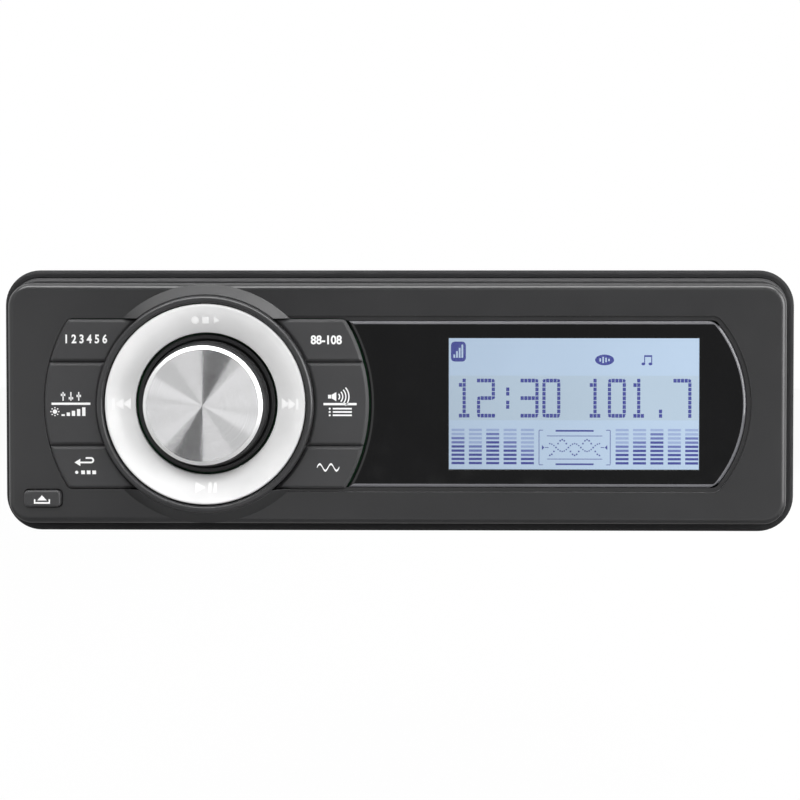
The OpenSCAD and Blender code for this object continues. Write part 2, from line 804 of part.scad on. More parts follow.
// Window: clear dark pane with a hollow left end round the keys and a lip behind the skin
module display_window() {
    half_h = window_h / 2;
    color("#1d1e20") facing() {
        difference() {
            intersection() {
                slab(window_back_z, window_front_z) window_field(0);
                rotate([90, 0, 90]) translate([0, 0, dial_x]) linear_extrude(face_w) polygon([
                    [-half_h, window_back_z], [half_h, window_back_z], [half_h, window_front_z - window_bevel],
                    [half_h - window_bevel, window_front_z], [-half_h + window_bevel, window_front_z],
                    [-half_h, window_front_z - window_bevel]]);
                union() {
                    block([dial_x, -window_h, window_back_z], [window_arc_x, window_h, window_front_z]);
                    translate([window_arc_x, 0, 0]) rotate_extrude() polygon([[0, window_back_z],
                        [window_arc_r, window_back_z], [window_arc_r, window_front_z - window_bevel],
                        [window_arc_r - window_bevel, window_front_z], [0, window_front_z]]);
                }
            }
            translate([dial_x, 0, 0]) rotate_extrude() polygon([[0, window_back_z - over],
                [window_left_r, window_back_z - over], [window_left_r, window_front_z - window_bevel],
                [window_left_r + window_bevel + over, window_front_z + over], [0, window_front_z + over]]);
        }
        slab(window_back_z, window_back_z + window_lip_t) difference() {
            window_field(ledge_w);
            translate([dial_x, 0]) circle(window_left_r);
        }
    }
}

module lcd_glass() {
    color("#b4c8de") facing() slab(glass_back_z, glass_front_z)
        translate([view_x, 0]) square([glass_w, glass_h], center = true);
}

// Light guide behind the glass, with its row of lamps along the right edge
module lcd_light_guide() {
    lamp_w = 1.2;
    lamp_l = 3;
    lamp_h = glass_back_z - board_front_z - 2 * fixed_gap;
    lamps = 5;
    lamp_pitch = glass_h / lamps;
    color("#e8eef4") facing() {
        slab(board_front_z, glass_back_z) translate([view_x - lamp_w / 2 - fixed_gap, 0])
            square([glass_w - lamp_w - 2 * fixed_gap, glass_h], center = true);
        for (i = [0:lamps - 1])
            translate([view_x + glass_w / 2 - lamp_w, (i - (lamps - 1) / 2) * lamp_pitch - lamp_l / 2,
                board_front_z]) cube([lamp_w, lamp_l, lamp_h]);
    }
}

// Holder round the display's glass
module lcd_frame() {
    wall = 1.5;
    corner_r = 1;
    seat = [glass_w + 2 * fixed_gap, glass_h + 2 * fixed_gap];
    color("#d9dadb") facing() slab(board_front_z, glass_front_z) translate([view_x, 0]) difference() {
        rounded_rect(seat[0] + 2 * wall, seat[1] + 2 * wall, corner_r);
        square(seat, center = true);
    }
}

// Board that carries the switches, the encoder and the display
module face_board() {
    edge_gap = 0.5;
    boss_room = face_boss_r + 2 * fixed_gap;
    button_room = 1.3;
    board_w = face_w - 2 * face_wall - 2 * edge_gap;
    top_y = face_h / 2 - face_wall - edge_gap;
    bottom_y = hinge_y + hinge_cheek_r + 2 * edge_gap;
    color("#2f5a3c") facing() slab(board_back_z, board_front_z) difference() {
        translate([-board_w / 2, bottom_y]) square([board_w, top_y - bottom_y]);
        translate([-board_w / 2 - over, bottom_y - over])
            square([button_x + board_w / 2 + button_w + over,
                button_y + button_h / 2 + button_room - bottom_y + over]);
        for (at = face_screws_at) translate(at) square(2 * boss_room, center = true);
    }
}

// Rubber mats under the two banks of keys
module keypad_mat() {
    mat_t = 1.7;
    mat_inset = 0.5;
    inner_r = key_inner_r + 2 * mat_inset;
    outer_r = key_field_r - mat_inset;
    half_h = key_field_h / 2 - mat_inset;
    bank_gap = 34;
    post_room_r = 3.1;
    color("#3a3b3d") facing() translate([dial_x, 0, board_front_z]) linear_extrude(mat_t) difference() {
        intersection() {
            circle(outer_r);
            translate([-outer_r, -half_h]) square([2 * outer_r, 2 * half_h]);
        }
        circle(inner_r);
        translate([-bank_gap / 2, -outer_r]) square([bank_gap, 2 * outer_r]);
        for (at = key_switches) translate(at) circle(post_room_r);
    }
}

// Switches under the six keys and under the four sides of the rocker ring
module tact_switches() {
    body_w = 3.8;
    body_t = 0.5;
    cap_r = 0.9;
    color("#c9c9c4") facing() translate([dial_x, 0, board_front_z])
        for (at = concat(key_switches, rocker_switches)) translate(at) {
            linear_extrude(body_t) square(body_w, center = true);
            cylinder(h = switch_h, r = cap_r);
        }
}

// One key: a slice of the round key field, bevelled round its front
module key(side, middle_y, h) {
    front_z = face_front_z + key_proud;
    half_h = h / 2;
    shoulder_z = front_z - key_bevel;
    color("#4c4d4f") facing() translate([dial_x, 0, 0]) {
        difference() {
            intersection() {
                rotate_extrude() polygon([[key_inner_r, key_back_z], [key_field_r, key_back_z],
                    [key_field_r, shoulder_z], [key_field_r - key_bevel, front_z],
                    [key_inner_r + key_bevel, front_z], [key_inner_r, shoulder_z]]);
                rotate([90, 0, 90]) translate([0, 0, side > 0 ? 0 : -key_field_r]) linear_extrude(key_field_r)
                    translate([middle_y, 0]) polygon([[-half_h, key_back_z], [half_h, key_back_z],
                        [half_h, shoulder_z], [half_h - key_bevel, front_z],
                        [-half_h + key_bevel, front_z], [-half_h, shoulder_z]]);
            }
            slab(key_back_z - over, front_z + over)
                corner_wastes(key_field_r, key_field_h / 2, key_corner_r, [-1, 1]);
        }
        rod_z(side * key_post_x(middle_y), middle_y, switch_top_z + key_travel + touch_gap, key_back_z,
            key_post_r);
    }
}

module key_upper_left() { key(-1, outer_key_y, outer_key_h); }
module key_middle_left() { key(-1, 0, middle_key_h); }
module key_lower_left() { key(-1, -outer_key_y, outer_key_h); }
module key_upper_right() { key(1, outer_key_y, outer_key_h); }
module key_middle_right() { key(1, 0, middle_key_h); }
module key_lower_right() { key(1, -outer_key_y, outer_key_h); }

// Ring between the face and the rocker, with pins at its four sides
module gimbal_ring() {
    ring_t = 2 * pivot_r;
    root_r = gimbal_out_r - pivot_wall;
    end_gap = 0.3;
    color("#3c3d3f") facing() translate([dial_x, 0, 0]) {
        slab(pivot_z - ring_t / 2, pivot_z + ring_t / 2) difference() {
            circle(gimbal_out_r);
            circle(gimbal_in_r);
        }
        for (side = [-1, 1]) {
            x_ends = [side * root_r, side * (surround_out_r - end_gap)];
            y_ends = [side * root_r, side * (ring_r - end_gap)];
            rod_x(min(x_ends), max(x_ends), 0, pivot_z, pivot_r);
            rod_y(0, min(y_ends), max(y_ends), pivot_z, pivot_r);
        }
    }
}

// Height of the seam between the rocker's trim and its carrier at radius r
function seam_z(r) = ring_hole_z - ring_trim_t + ring_dish * (r - ring_hole_r) / (ring_r - ring_hole_r);

// Dark carrier of the rocker ring, with two pivot lugs and a foot over each switch
module rocker_carrier() {
    skirt_in_r = ring_r - carrier_skirt_t;
    lip_out_r = ring_hole_r + carrier_skirt_t;
    lug_top_z = carrier_skirt_z + pivot_wall;
    foot_end_z = switch_top_z + rocker_stroke;
    color("#232426") facing() translate([dial_x, 0, 0]) {
        rotate_extrude() polygon([[ring_hole_r, seam_z(ring_hole_r) - carrier_t],
            [ring_hole_r, seam_z(ring_hole_r)], [ring_r, seam_z(ring_r)], [ring_r, carrier_skirt_z],
            [skirt_in_r, carrier_skirt_z], [skirt_in_r, seam_z(skirt_in_r) - carrier_t],
            [lip_out_r, seam_z(lip_out_r) - carrier_t]]);
        difference() {
            intersection() {
                slab(foot_end_z, lug_top_z) difference() {
                    circle(ring_r);
                    circle(skirt_in_r);
                }
                block([-pivot_lug_w / 2, -ring_r, foot_end_z], [pivot_lug_w / 2, ring_r, lug_top_z]);
            }
            rod_y(0, -ring_r - over, ring_r + over, pivot_z, pivot_r + running_gap);
        }
        for (turn = [rocker_foot_turn, 180 - rocker_foot_turn]) rotate(turn)
            rod_z(ring_r - carrier_skirt_t / 2, 0, foot_end_z, lug_top_z, carrier_skirt_t / 2 - touch_gap);
    }
}

// Bright dished trim on the rocker ring
module rocker_trim() {
    edge = 0.35;
    color("#d8dadb") facing() translate([dial_x, 0, 0]) rotate_extrude() polygon([
        [ring_hole_r, seam_z(ring_hole_r)], [ring_hole_r, ring_hole_z - edge / 2],
        [ring_hole_r + edge, ring_hole_z + edge * 0.4], [ring_r - edge, ring_edge_z - edge * 0.2],
        [ring_r, ring_edge_z - edge], [ring_r, seam_z(ring_r)]]);
}

// Black cup that closes the well between the knob and the rocker ring
module knob_sleeve() {
    floor_t = 0.8;
    half_w = encoder_w / 2 + fixed_gap;
    color("#1a1b1c") facing() translate([dial_x, 0, 0]) {
        slab(board_front_z, board_front_z + floor_t) difference() {
            circle(sleeve_r);
            square(2 * half_w, center = true);
        }
        slab(board_front_z, sleeve_front_z) difference() {
            circle(sleeve_r);
            circle(sleeve_r - sleeve_t);
        }
    }
}

// Encoder's body with the bush that its plunger slides in
module encoder_body() {
    color("#8f9296") facing() translate([dial_x, 0, 0]) difference() {
        union() {
            slab(board_front_z, board_front_z + encoder_h) square(encoder_w, center = true);
            rod_z(0, 0, board_front_z, bush_front_z, bush_r);
        }
        rod_z(0, 0, board_front_z + encoder_floor, bush_front_z + over, plunger_r + running_gap);
    }
}

// Sliding sleeve that lets the knob be pressed
module encoder_plunger() {
    color("#b5b8bb") facing() translate([dial_x, 0, 0]) slab(plunger_end_z, plunger_front_z) difference() {
        circle(plunger_r);
        circle(shaft_r + running_gap);
    }
}

// Shaft that turns in the plunger, with the collar that rests on it
module encoder_shaft() {
    color("#c4c6c8") facing() translate([dial_x, 0, 0]) {
        rod_z(0, 0, plunger_end_z, shaft_end_z, shaft_r);
        rod_z(0, 0, shaft_collar_z, shaft_collar_z + shaft_collar_t, plunger_r);
    }
}

// Dark turned body of the knob, hollow behind, with the hub that grips the shaft
module knob_body() {
    hub_end_z = shaft_collar_z + shaft_collar_t;
    inner_r = knob_cap_r - knob_wall;
    lip_h = 0.9;
    lip_w = 0.3;
    color("#27282a") facing() translate([dial_x, 0, 0]) difference() {
        rotate_extrude() polygon([[0, knob_roof_z], [knob_cap_r, knob_roof_z],
            [knob_skirt_r - lip_w, knob_open_z + lip_h], [knob_skirt_r, knob_open_z + lip_h],
            [knob_skirt_r, knob_open_z], [inner_r, knob_open_z],
            [inner_r, knob_roof_z - knob_roof_t], [bush_r, knob_roof_z - knob_roof_t], [bush_r, hub_end_z],
            [0, hub_end_z]]);
        rod_z(0, 0, hub_end_z - over, shaft_end_z, shaft_r);
    }
}

// Spun aluminium cap with its bright bevel and sunk fine centre
module knob_cap() {
    straight = 0.3;
    color("#c3c6c8") facing() translate([dial_x, 0, 0]) rotate_extrude() polygon([[0, knob_roof_z],
        [knob_cap_r, knob_roof_z], [knob_cap_r, knob_roof_z + straight], [knob_face_r, knob_front_z],
        [0, knob_front_z]]);
}

// Release button with the sloping stem that drives the latch
module release_button() {
    front_z = face_front_z + button_proud;
    flange_front_z = skin_back_z - slide_gap;
    stem_root_z = (button_back_z + flange_front_z) / 2;
    flange = 0.8;
    edge_r = 0.6;
    color("#4b4c4e") facing() {
        translate([button_x, button_y, button_back_z])
            soft_slab(button_w, button_h, button_corner_r, front_z - button_back_z, edge_r);
        translate([button_x, button_y, 0]) slab(button_back_z, flange_front_z)
            rounded_rect(button_w + 2 * flange, button_h + 2 * flange, button_corner_r);
        translate([0, button_y + stem_t / 2, 0]) rotate([90, 0, 0]) linear_extrude(stem_t) polygon([
            [stem_left_x, stem_root_z], [stem_left_x, stem_tip_z], [stem_left_x + stem_tip, stem_tip_z],
            [stem_left_x + stem_w, stem_tip_z + stem_w - stem_tip], [stem_left_x + stem_w, stem_root_z]]);
    }
}

// Latch: a ramp beside the release stem, a leg up to the bar, and two hooks behind it
module latch_bar() {
    ramp_gap = 0.1;
    ramp_front_z = stem_tip_z + release_travel + ramp_gap;
    ramp_x = stem_left_x + stem_tip + ramp_gap;
    ramp_w = 6;
    color("#8c8f93") facing() {
        translate([0, button_y + stem_t / 2, 0]) rotate([90, 0, 0]) linear_extrude(stem_t) polygon([
            [ramp_x + latch_back_z - stem_tip_z, latch_back_z], [ramp_x + ramp_w, latch_back_z],
            [ramp_x + ramp_w, ramp_front_z], [ramp_x + ramp_front_z - stem_tip_z, ramp_front_z]]);
        block([latch_leg_x, button_y - stem_t / 2, latch_back_z],
            [latch_leg_x + latch_w, latch_y + latch_w / 2, latch_front_z]);
        block([latch_leg_x, latch_y - latch_w / 2, latch_back_z],
            [latch_end_x, latch_y + latch_w / 2, latch_front_z]);
        for (x = hook_xs) {
            block([x, latch_y - hook_t / 2, hook_end_z], [x + hook_w, latch_y + hook_t / 2, latch_front_z]);
            block([x - hook_reach, latch_y - hook_t / 2, hook_end_z],
                [x + hook_w, latch_y + hook_t / 2, hook_nose_front_z]);
        }
    }
}

// Zigzag spring that pushes the latch back
module latch_spring() {
    swing = latch_w / 2 - spring_wire;
    pitch = spring_l / (spring_bends - 1);
    path = [for (i = [0:spring_bends - 1])
        [latch_end_x + i * pitch, latch_y + (i % 2 == 0 ? -swing : swing)]];
    upper = [for (p = path) p + [0, spring_wire]];
    lower = [for (i = [spring_bends - 1:-1:0]) path[i] - [0, spring_wire]];
    color("#a9acaf") facing() slab(latch_back_z + slide_gap / 2, latch_front_z - slide_gap / 2)
        polygon(concat(upper, lower));
}

// Contact block on the back of the face
module face_connector() {
    color("#202124") facing() slab(face_back_z - face_gap / 2, board_back_z) connector_outline(0);
}

// Matching block in the frame, with its row of spring contacts
module frame_connector() {
    pad = [4, 1, face_gap / 4];
    margin = 1.5;
    pitch = (connector_h - 2 * margin) / (contacts - 1);
    color("#202124") facing() {
        slab(frame_back_z, frame_front_z) connector_outline(0);
        for (i = [0:contacts - 1])
            translate([connector_x - pad[0] / 2, (i - (contacts - 1) / 2) * pitch - pad[1] / 2, frame_front_z])
                cube(pad);
    }
}

// Frame: flange round the face, collar into the chassis, hinge lugs and latch pockets
module front_frame() {
    screw_reach = 3 * frame_collar_t;
    color("#38393b") facing() {
        difference() {
            union() {
                translate([0, 0, frame_back_z])
                    soft_slab(frame_w, frame_h, frame_corner_r, flange_t, frame_edge_r);
                slab(-frame_collar_d, frame_front_z - frame_edge_r)
                    rounded_rect(frame_collar_w, frame_collar_h, sheet_t);
                for (side = [-1, 1]) {
                    x0 = side * hinge_x - hinge_lug_w / 2;
                    x1 = side * hinge_x + hinge_lug_w / 2;
                    rod_x(x0, x1, hinge_y, hinge_z, hinge_lug_r);
                    block([x0, hinge_y - hinge_lug_r, frame_front_z - frame_edge_r],
                        [x1, hinge_y + hinge_lug_r, hinge_z]);
                }
            }
            slab(-frame_collar_d - over, frame_back_z) rounded_rect(frame_collar_w - 2 * frame_collar_t,
                frame_collar_h - 2 * frame_collar_t, sheet_t);
            slab(frame_back_z - over, frame_front_z + over) translate([0, locker_rise])
                rounded_rect(locker_w, locker_h, locker_corner_r);
            slab(frame_front_z - seal_sink, frame_front_z + over) seal_outline(touch_gap);
            slab(frame_back_z - over, frame_front_z + over) connector_outline(touch_gap);
            for (x = hook_xs) {
                hook_slot(x - hook_gap, x, hook_end_z - hook_gap, frame_front_z + over);
                hook_slot(x - hook_reach - hook_gap, x, hook_end_z - hook_gap, frame_front_z - lip_t);
            }
            for (side = [-1, 1]) {
                rod_x(side * hinge_x - hinge_lug_w, side * hinge_x + hinge_lug_w, hinge_y, hinge_z,
                    hinge_pin_r + running_gap);
                for (up = [-1, 1])
                    rod_x(side * chassis_w / 2 - screw_reach, side * chassis_w / 2 + screw_reach,
                        up * frame_screw_y, frame_screw_z, machine_screw_r);
            }
        }
    }
}

// Outline of the seal round the locker's mouth, grown by grow on both sides
module seal_outline(grow) {
    inner = 2 * (seal_offset - grow);
    outer = 2 * (seal_offset + seal_w + grow);
    translate([0, locker_rise]) difference() {
        rounded_rect(locker_w + outer, locker_h + outer, locker_corner_r + outer / 2);
        rounded_rect(locker_w + inner, locker_h + inner, locker_corner_r + inner / 2);
    }
}

module door_seal() {
    color("#191a1b") facing() slab(frame_front_z - seal_sink, frame_front_z + face_gap / 2) seal_outline(0);
}

// Rubber gasket that closes the gap to the dashboard, with a rim beside the frame
module flange_gasket() {
    color("#2a2b2c") facing() difference() {
        soft_slab(gasket_w, gasket_h, gasket_corner_r, gasket_t + gasket_lip, gasket_edge_r);
        slab(gasket_t, gasket_t + gasket_lip + over) rounded_rect(frame_w + 2 * fixed_gap,
            frame_h + 2 * fixed_gap, frame_corner_r + fixed_gap);
        slab(-over, gasket_t + over)
            square([chassis_w + 2 * fixed_gap, chassis_h + 2 * fixed_gap], center = true);
    }
}

// Locker behind the face for a media player, open at the front
module media_tray() {
    out_w = locker_w / 2 + locker_wall;
    out_h = locker_h / 2 + locker_wall;
    color("#303133") facing() difference() {
        block([-out_w, locker_rise - out_h, locker_back_z - locker_wall],
            [out_w, locker_rise + out_h, frame_back_z]);
        block([-locker_w / 2, locker_floor_y, locker_back_z],
            [locker_w / 2, locker_floor_y + locker_h, frame_back_z + over]);
        rod_z(jack_x, jack_y, locker_back_z - locker_wall - over, locker_back_z + over,
            jack_body_r + running_gap);
    }
}

// Foam pad on the locker's floor, with long grooves that hold the player still
module locker_pad() {
    grooves = 6;
    groove_w = 1.6;
    margin = 3;
    pad_w = locker_w - 2 * margin;
    pad_d = locker_d - 2 * margin;
    color("#3b3c3e") facing() difference() {
        block([-pad_w / 2, locker_floor_y, locker_back_z + margin],
            [pad_w / 2, locker_floor_y + pad_t, locker_back_z + margin + pad_d]);
        for (i = [1:grooves])
            translate([-pad_w / 2 + i * pad_w / (grooves + 1) - groove_w / 2, locker_floor_y + pad_t / 2,
                locker_back_z]) cube([groove_w, pad_t, locker_d + over]);
    }
}

module aux_jack() {
    color("#1d1e20") facing() translate([jack_x, jack_y, 0]) difference() {
        union() {
            rod_z(0, 0, locker_back_z - jack_l, locker_back_z, jack_body_r);
            rod_z(0, 0, locker_back_z, locker_back_z + jack_flange_t, jack_flange_r);
        }
        rod_z(0, 0, locker_back_z - jack_l + jack_floor, locker_back_z + jack_flange_t + over, jack_bore_r);
    }
}

// What a round of radius r takes off a corner at the origin that opens to the upper right
module corner_round_waste(r) {
    difference() {
        translate([-over, -over]) square(r + over);
        translate([r, r]) circle(r);
    }
}

// The same along the upper (1) or lower (-1) long edges of the chassis
module chassis_edge_waste(up, r) {
    for (side = [-1, 1]) slab(rear_z - over, frame_back_z + over)
        translate([side * chassis_w / 2, up * chassis_h / 2]) scale([-side, -up]) corner_round_waste(r);
}

// Chassis: folded floor and sides with the mounting holes
module chassis_tray() {
    color("#a7aaad") facing() difference() {
        block([-chassis_w / 2, -chassis_h / 2, rear_z], [chassis_w / 2, roof_y, frame_back_z]);
        block([-side_x, floor_y, rear_z - over], [side_x, chassis_h, frame_back_z + over]);
        chassis_edge_waste(-1, fold_r);
        for (i = [0, 1], up = [-1, 1])
            rod_x(-chassis_w, chassis_w, up * side_hole_pitch_h / 2, -side_hole_start - i * side_hole_pitch_d,
                side_hole_r);
        for (z = side_screw_zs)
            rod_x(-chassis_w, chassis_w, roof_y - cover_lip / 2, z, machine_screw_r + fixed_gap);
        for (up = [-1, 1]) {
            rod_x(-chassis_w, chassis_w, up * frame_screw_y, frame_screw_z, machine_screw_r + fixed_gap);
            rod_x(-chassis_w, chassis_w, up * rear_screw_y, rear_screw_z, machine_screw_r + fixed_gap);
        }
    }
}

// Top cover with a lip inside each wall, two rows of vents and a pressed bead beside them
module top_cover() {
    lip_start_z = -frame_collar_d - over;
    vents = 11;
    vent_w = 3;
    vent_l = 18;
    vent_pitch = 12;
    vent_start = 20;
    vent_row_gap = 8;
    bead_d = 0.6;
    bead_w = 5;
    bead_end_gap = 12;
    bead_l = lip_start_z - rear_z - 2 * bead_end_gap;
    bead_x = (vents + 1) / 2 * vent_pitch;
    color("#a2a5a8") facing() {
        difference() {
            block([-chassis_w / 2, roof_y, rear_z], [chassis_w / 2, chassis_h / 2, frame_back_z]);
            for (i = [0:vents - 1], row = [0, 1])
                translate([(i - (vents - 1) / 2) * vent_pitch, roof_y - over,
                    rear_z + vent_start + row * (vent_l + vent_row_gap)])
                    rotate([-90, 0, 0]) linear_extrude(sheet_t + 2 * over) slot(vent_w, vent_l);
            for (side = [-1, 1])
                translate([side * bead_x, chassis_h / 2 - bead_d, (lip_start_z + rear_z) / 2])
                    rotate([-90, 0, 0]) linear_extrude(bead_d + over) slot(bead_w, bead_l);
            chassis_edge_waste(1, cover_edge_r);
        }
        for (side = [-1, 1])
            translate([side * bead_x, roof_y - bead_d, (lip_start_z + rear_z) / 2])
                rotate([-90, 0, 0]) linear_extrude(bead_d) slot(bead_w + sheet_t, bead_l + sheet_t);
        for (side = [-1, 1]) {
            near_x = side * side_x;
            far_x = side * (side_x - sheet_t);
            difference() {
                block([min(near_x, far_x), roof_y - cover_lip, rear_in_z + sheet_t],
                    [max(near_x, far_x), roof_y, lip_start_z]);
                for (z = side_screw_zs)
                    rod_x(min(near_x, far_x) - over, max(near_x, far_x) + over, roof_y - cover_lip / 2, z,
                        machine_screw_r);
            }
        }
    }
}

// Rear panel between the sides, with a folded tab along each of them
module rear_panel() {
    tab_top_y = roof_y - cover_lip - over;
    color("#9da0a3") facing() difference() {
        union() {
            slab(rear_z, rear_in_z) translate([-side_x, floor_y]) square([2 * side_x, roof_y - floor_y]);
            for (side = [-1, 1]) {
                near_x = side * side_x;
                far_x = side * (side_x - sheet_t);
                block([min(near_x, far_x), floor_y, rear_z],
                    [max(near_x, far_x), tab_top_y, rear_in_z + rear_tab_d]);
            }
        }
        for (up = [-1, 1])
            rod_x(-chassis_w, chassis_w, up * rear_screw_y, rear_screw_z, machine_screw_r);
        rod_z(antenna_x, antenna_y, rear_z - over, rear_in_z + over,
            antenna_bore_r + antenna_wall + running_gap);
        rod_z(stud_x, stud_y, rear_z - over, rear_in_z + over, stud_r + running_gap);
        slab(rear_z - over, rear_in_z + over) {
            translate([harness_x, harness_y]) square([harness_w + 2 * harness_wall + 2 * fixed_gap,
                harness_h + 2 * harness_wall + 2 * fixed_gap], center = true);
            translate([fuse_x, fuse_y]) square([fuse_w + 2 * fixed_gap,
                fuse_t + 2 * fuse_holder_wall + 2 * fixed_gap], center = true);
            translate([amp_x, amp_y]) square([amp_w + 2 * fixed_gap, amp_h + 2 * fixed_gap], center = true);
        }
        for (at = sink_screws_at) rod_z(at[0], at[1], rear_z - over, rear_in_z + over, machine_screw_r);
    }
}

// Finned heat sink on the back of the rear panel
module heat_sink() {
    fin_field = sink_w - 2 * sink_ear;
    fin_pitch = (fin_field - sink_fin_t) / (sink_fins - 1);
    base_z = rear_z - sink_base_t;
    color("#2d2e30") facing() difference() {
        translate([sink_x, sink_h / 2, 0]) rotate([90, 0, 0]) linear_extrude(sink_h) {
            translate([-sink_w / 2, base_z]) square([sink_w, sink_base_t]);
            for (i = [0:sink_fins - 1])
                translate([-fin_field / 2 + i * fin_pitch, base_z - sink_fin_d])
                    square([sink_fin_t, sink_fin_d + sink_base_t / 2]);
        }
        for (at = sink_screws_at)
            rod_z(at[0], at[1], base_z - over, rear_z + over, machine_screw_r + fixed_gap);
    }
}

module rear_stud() {
    color("#b9bcbf") facing() translate([stud_x, stud_y, 0]) {
        rod_z(0, 0, rear_z - stud_l, rear_in_z, stud_r);
        rod_z(0, 0, rear_in_z, rear_in_z + stud_head_t, stud_head_r);
        translate([0, 0, rear_z - stud_nut_t]) cylinder(h = stud_nut_t, r = stud_nut_r, $fn = 6);
    }
}

module antenna_socket() {
    tube_r = antenna_bore_r + antenna_wall;
    flange = 2;
    floor_t = 2;
    color("#c0c3c6") facing() translate([antenna_x, antenna_y, 0]) difference() {
        union() {
            rod_z(0, 0, rear_z - antenna_out, rear_in_z + antenna_in, tube_r);
            rod_z(0, 0, rear_in_z, rear_in_z + flange, tube_r + flange);
        }
        rod_z(0, 0, rear_z - antenna_out - over, rear_in_z + antenna_in - floor_t, antenna_bore_r);
    }
}

// Housing that the wiring harness plugs into
module harness_socket() {
    out_w = harness_w + 2 * harness_wall;
    out_h = harness_h + 2 * harness_wall;
    color("#e4e3dc") facing() translate([harness_x, harness_y, 0]) difference() {
        slab(rear_z - harness_out, rear_in_z + harness_in) square([out_w, out_h], center = true);
        slab(rear_z - harness_out - over, rear_in_z + harness_in - harness_floor)
            square([harness_w, harness_h], center = true);
        translate([-harness_w / 8, 0, rear_z - harness_out - over])
            cube([harness_w / 4, out_h, harness_out + over - fixed_gap]);
    }
}

module harness_pins() {
    floor_z = rear_in_z + harness_in - harness_floor;
    pitch_x = harness_w / harness_pins_per_row;
    color("#c9b36a") facing() translate([harness_x, harness_y, floor_z - harness_pin_l])
        for (i = [0:harness_pins_per_row - 1], row = [-1, 1])
            translate([(i - (harness_pins_per_row - 1) / 2) * pitch_x - harness_pin_w / 2,
                row * harness_h / 4 - harness_pin_w / 2, 0])
                cube([harness_pin_w, harness_pin_w, harness_pin_l]);
}

// Holder with a slot for each blade of the fuse
module fuse_holder() {
    out_h = fuse_t + 2 * fuse_holder_wall;
    blade_end_gap = 0.5;
    color("#252628") facing() translate([fuse_x, fuse_y, 0]) difference() {
        slab(rear_z - fuse_holder_out, rear_in_z + fuse_holder_in) square([fuse_w, out_h], center = true);
        for (side = [-1, 1])
            translate([side * fuse_blade_x, 0, rear_z - fuse_holder_out - over])
                linear_extrude(fuse_blade_l + over + blade_end_gap)
                    square([fuse_blade_w + 2 * touch_gap, fuse_blade_t + 2 * touch_gap], center = true);
    }
}

// Blade fuse: a coloured grip with a waist and two blades
module blade_fuse() {
    seat_z = rear_z - fuse_holder_out;
    waist = 0.6;
    color("#3f78c8") facing() translate([fuse_x, fuse_y, 0]) {
        slab(seat_z - fuse_h, seat_z - fuse_waist_h) square([fuse_w, fuse_t], center = true);
        slab(seat_z - fuse_waist_h, seat_z) square([fuse_w - 2 * waist, fuse_t - 2 * waist], center = true);
        for (side = [-1, 1])
            translate([side * fuse_blade_x, 0, 0]) slab(seat_z, seat_z + fuse_blade_l)
                square([fuse_blade_w, fuse_blade_t], center = true);
    }
}

module main_board() {
    color("#2f5a3c") facing() difference() {
        block([-main_board_w / 2, board_bottom_y, board_rear_z],
            [main_board_w / 2, board_top_y, board_start_z]);
        for (at = standoffs)
            rod_y(at[0], board_bottom_y - over, board_top_y + over, at[1], machine_screw_r + fixed_gap);
    }
}

module board_standoffs() {
    base_t = 0.5;
    color("#b5b8bb") facing() for (at = standoffs) difference() {
        rod_y(at[0], floor_y, board_bottom_y, at[1], standoff_r);
        rod_y(at[0], floor_y + base_t, board_bottom_y + over, at[1], machine_screw_r);
    }
}

// Amplifier, flat against the heat sink, with its legs down to the board
module amplifier_chip() {
    leg_w = 0.8;
    leg_t = 0.6;
    leg_root = 0.5;
    leg_pitch = amp_w / (amp_legs + 1);
    color("#1f2022") facing() {
        slab(rear_z, rear_z + amp_t) translate([amp_x, amp_y]) square([amp_w, amp_h], center = true);
        for (i = [1:amp_legs])
            translate([amp_x - amp_w / 2 + i * leg_pitch - leg_w / 2, board_top_y, board_rear_z + leg_t])
                cube([leg_w, amp_y - amp_h / 2 - board_top_y + leg_root, leg_t]);
    }
}

module filter_capacitors() {
    can_r = 6;
    can_h = 22;
    color("#27364f") facing() for (i = [0:2])
        rod_y(capacitor_x + i * (2 * can_r + capacitor_gap), board_top_y, board_top_y + can_h,
            capacitor_z, can_r);
}

// Power choke: a ring core standing on the board, wound in copper
module power_choke() {
    core_r = 7;
    core_t = 3;
    color("#a5682f") facing() translate([choke_x, board_top_y + core_r + core_t, choke_z])
        rotate_extrude() translate([core_r, 0]) circle(core_t);
}

module tuner_can() {
    color("#b9bcbf") facing() translate(tuner_from) cube(tuner_size);
}

module processor_chip() {
    chip_t = 1.4;
    color("#1f2022") facing() translate([-processor_w / 2, board_top_y, processor_start_z])
        cube([processor_w, chip_t, processor_w]);
}

// Pan-head screw along +z with its head's underside at z = 0
module machine_screw(shank_l) {
    cross_l = 2.4;
    cross_w = 0.5;
    rod_z(0, 0, 0, shank_l, machine_screw_r - touch_gap);
    difference() {
        rod_z(0, 0, -machine_head_t, 0, machine_head_r);
        for (turn = [0, 90]) rotate(turn)
            translate([-cross_l / 2, -cross_w / 2, -machine_head_t - over])
                cube([cross_l, cross_w, over + cross_w]);
    }
}

// Side screws, turned to point inwards from each wall
module side_screw(side, y, z, shank_l) {
    translate([side * chassis_w / 2, y, z]) rotate([0, -side * 90, 0]) machine_screw(shank_l);
}

module cover_screws() {
    color("#85888b") facing() for (side = [-1, 1], z = side_screw_zs)
        side_screw(side, roof_y - cover_lip / 2, z, 2 * sheet_t + screw_tip);
}

module frame_screws() {
    color("#85888b") facing() for (side = [-1, 1], up = [-1, 1])
        side_screw(side, up * frame_screw_y, frame_screw_z, sheet_t + frame_collar_t);
}

module rear_screws() {
    color("#85888b") facing() for (side = [-1, 1], up = [-1, 1])
        side_screw(side, up * rear_screw_y, rear_screw_z, 2 * sheet_t + screw_tip);
}

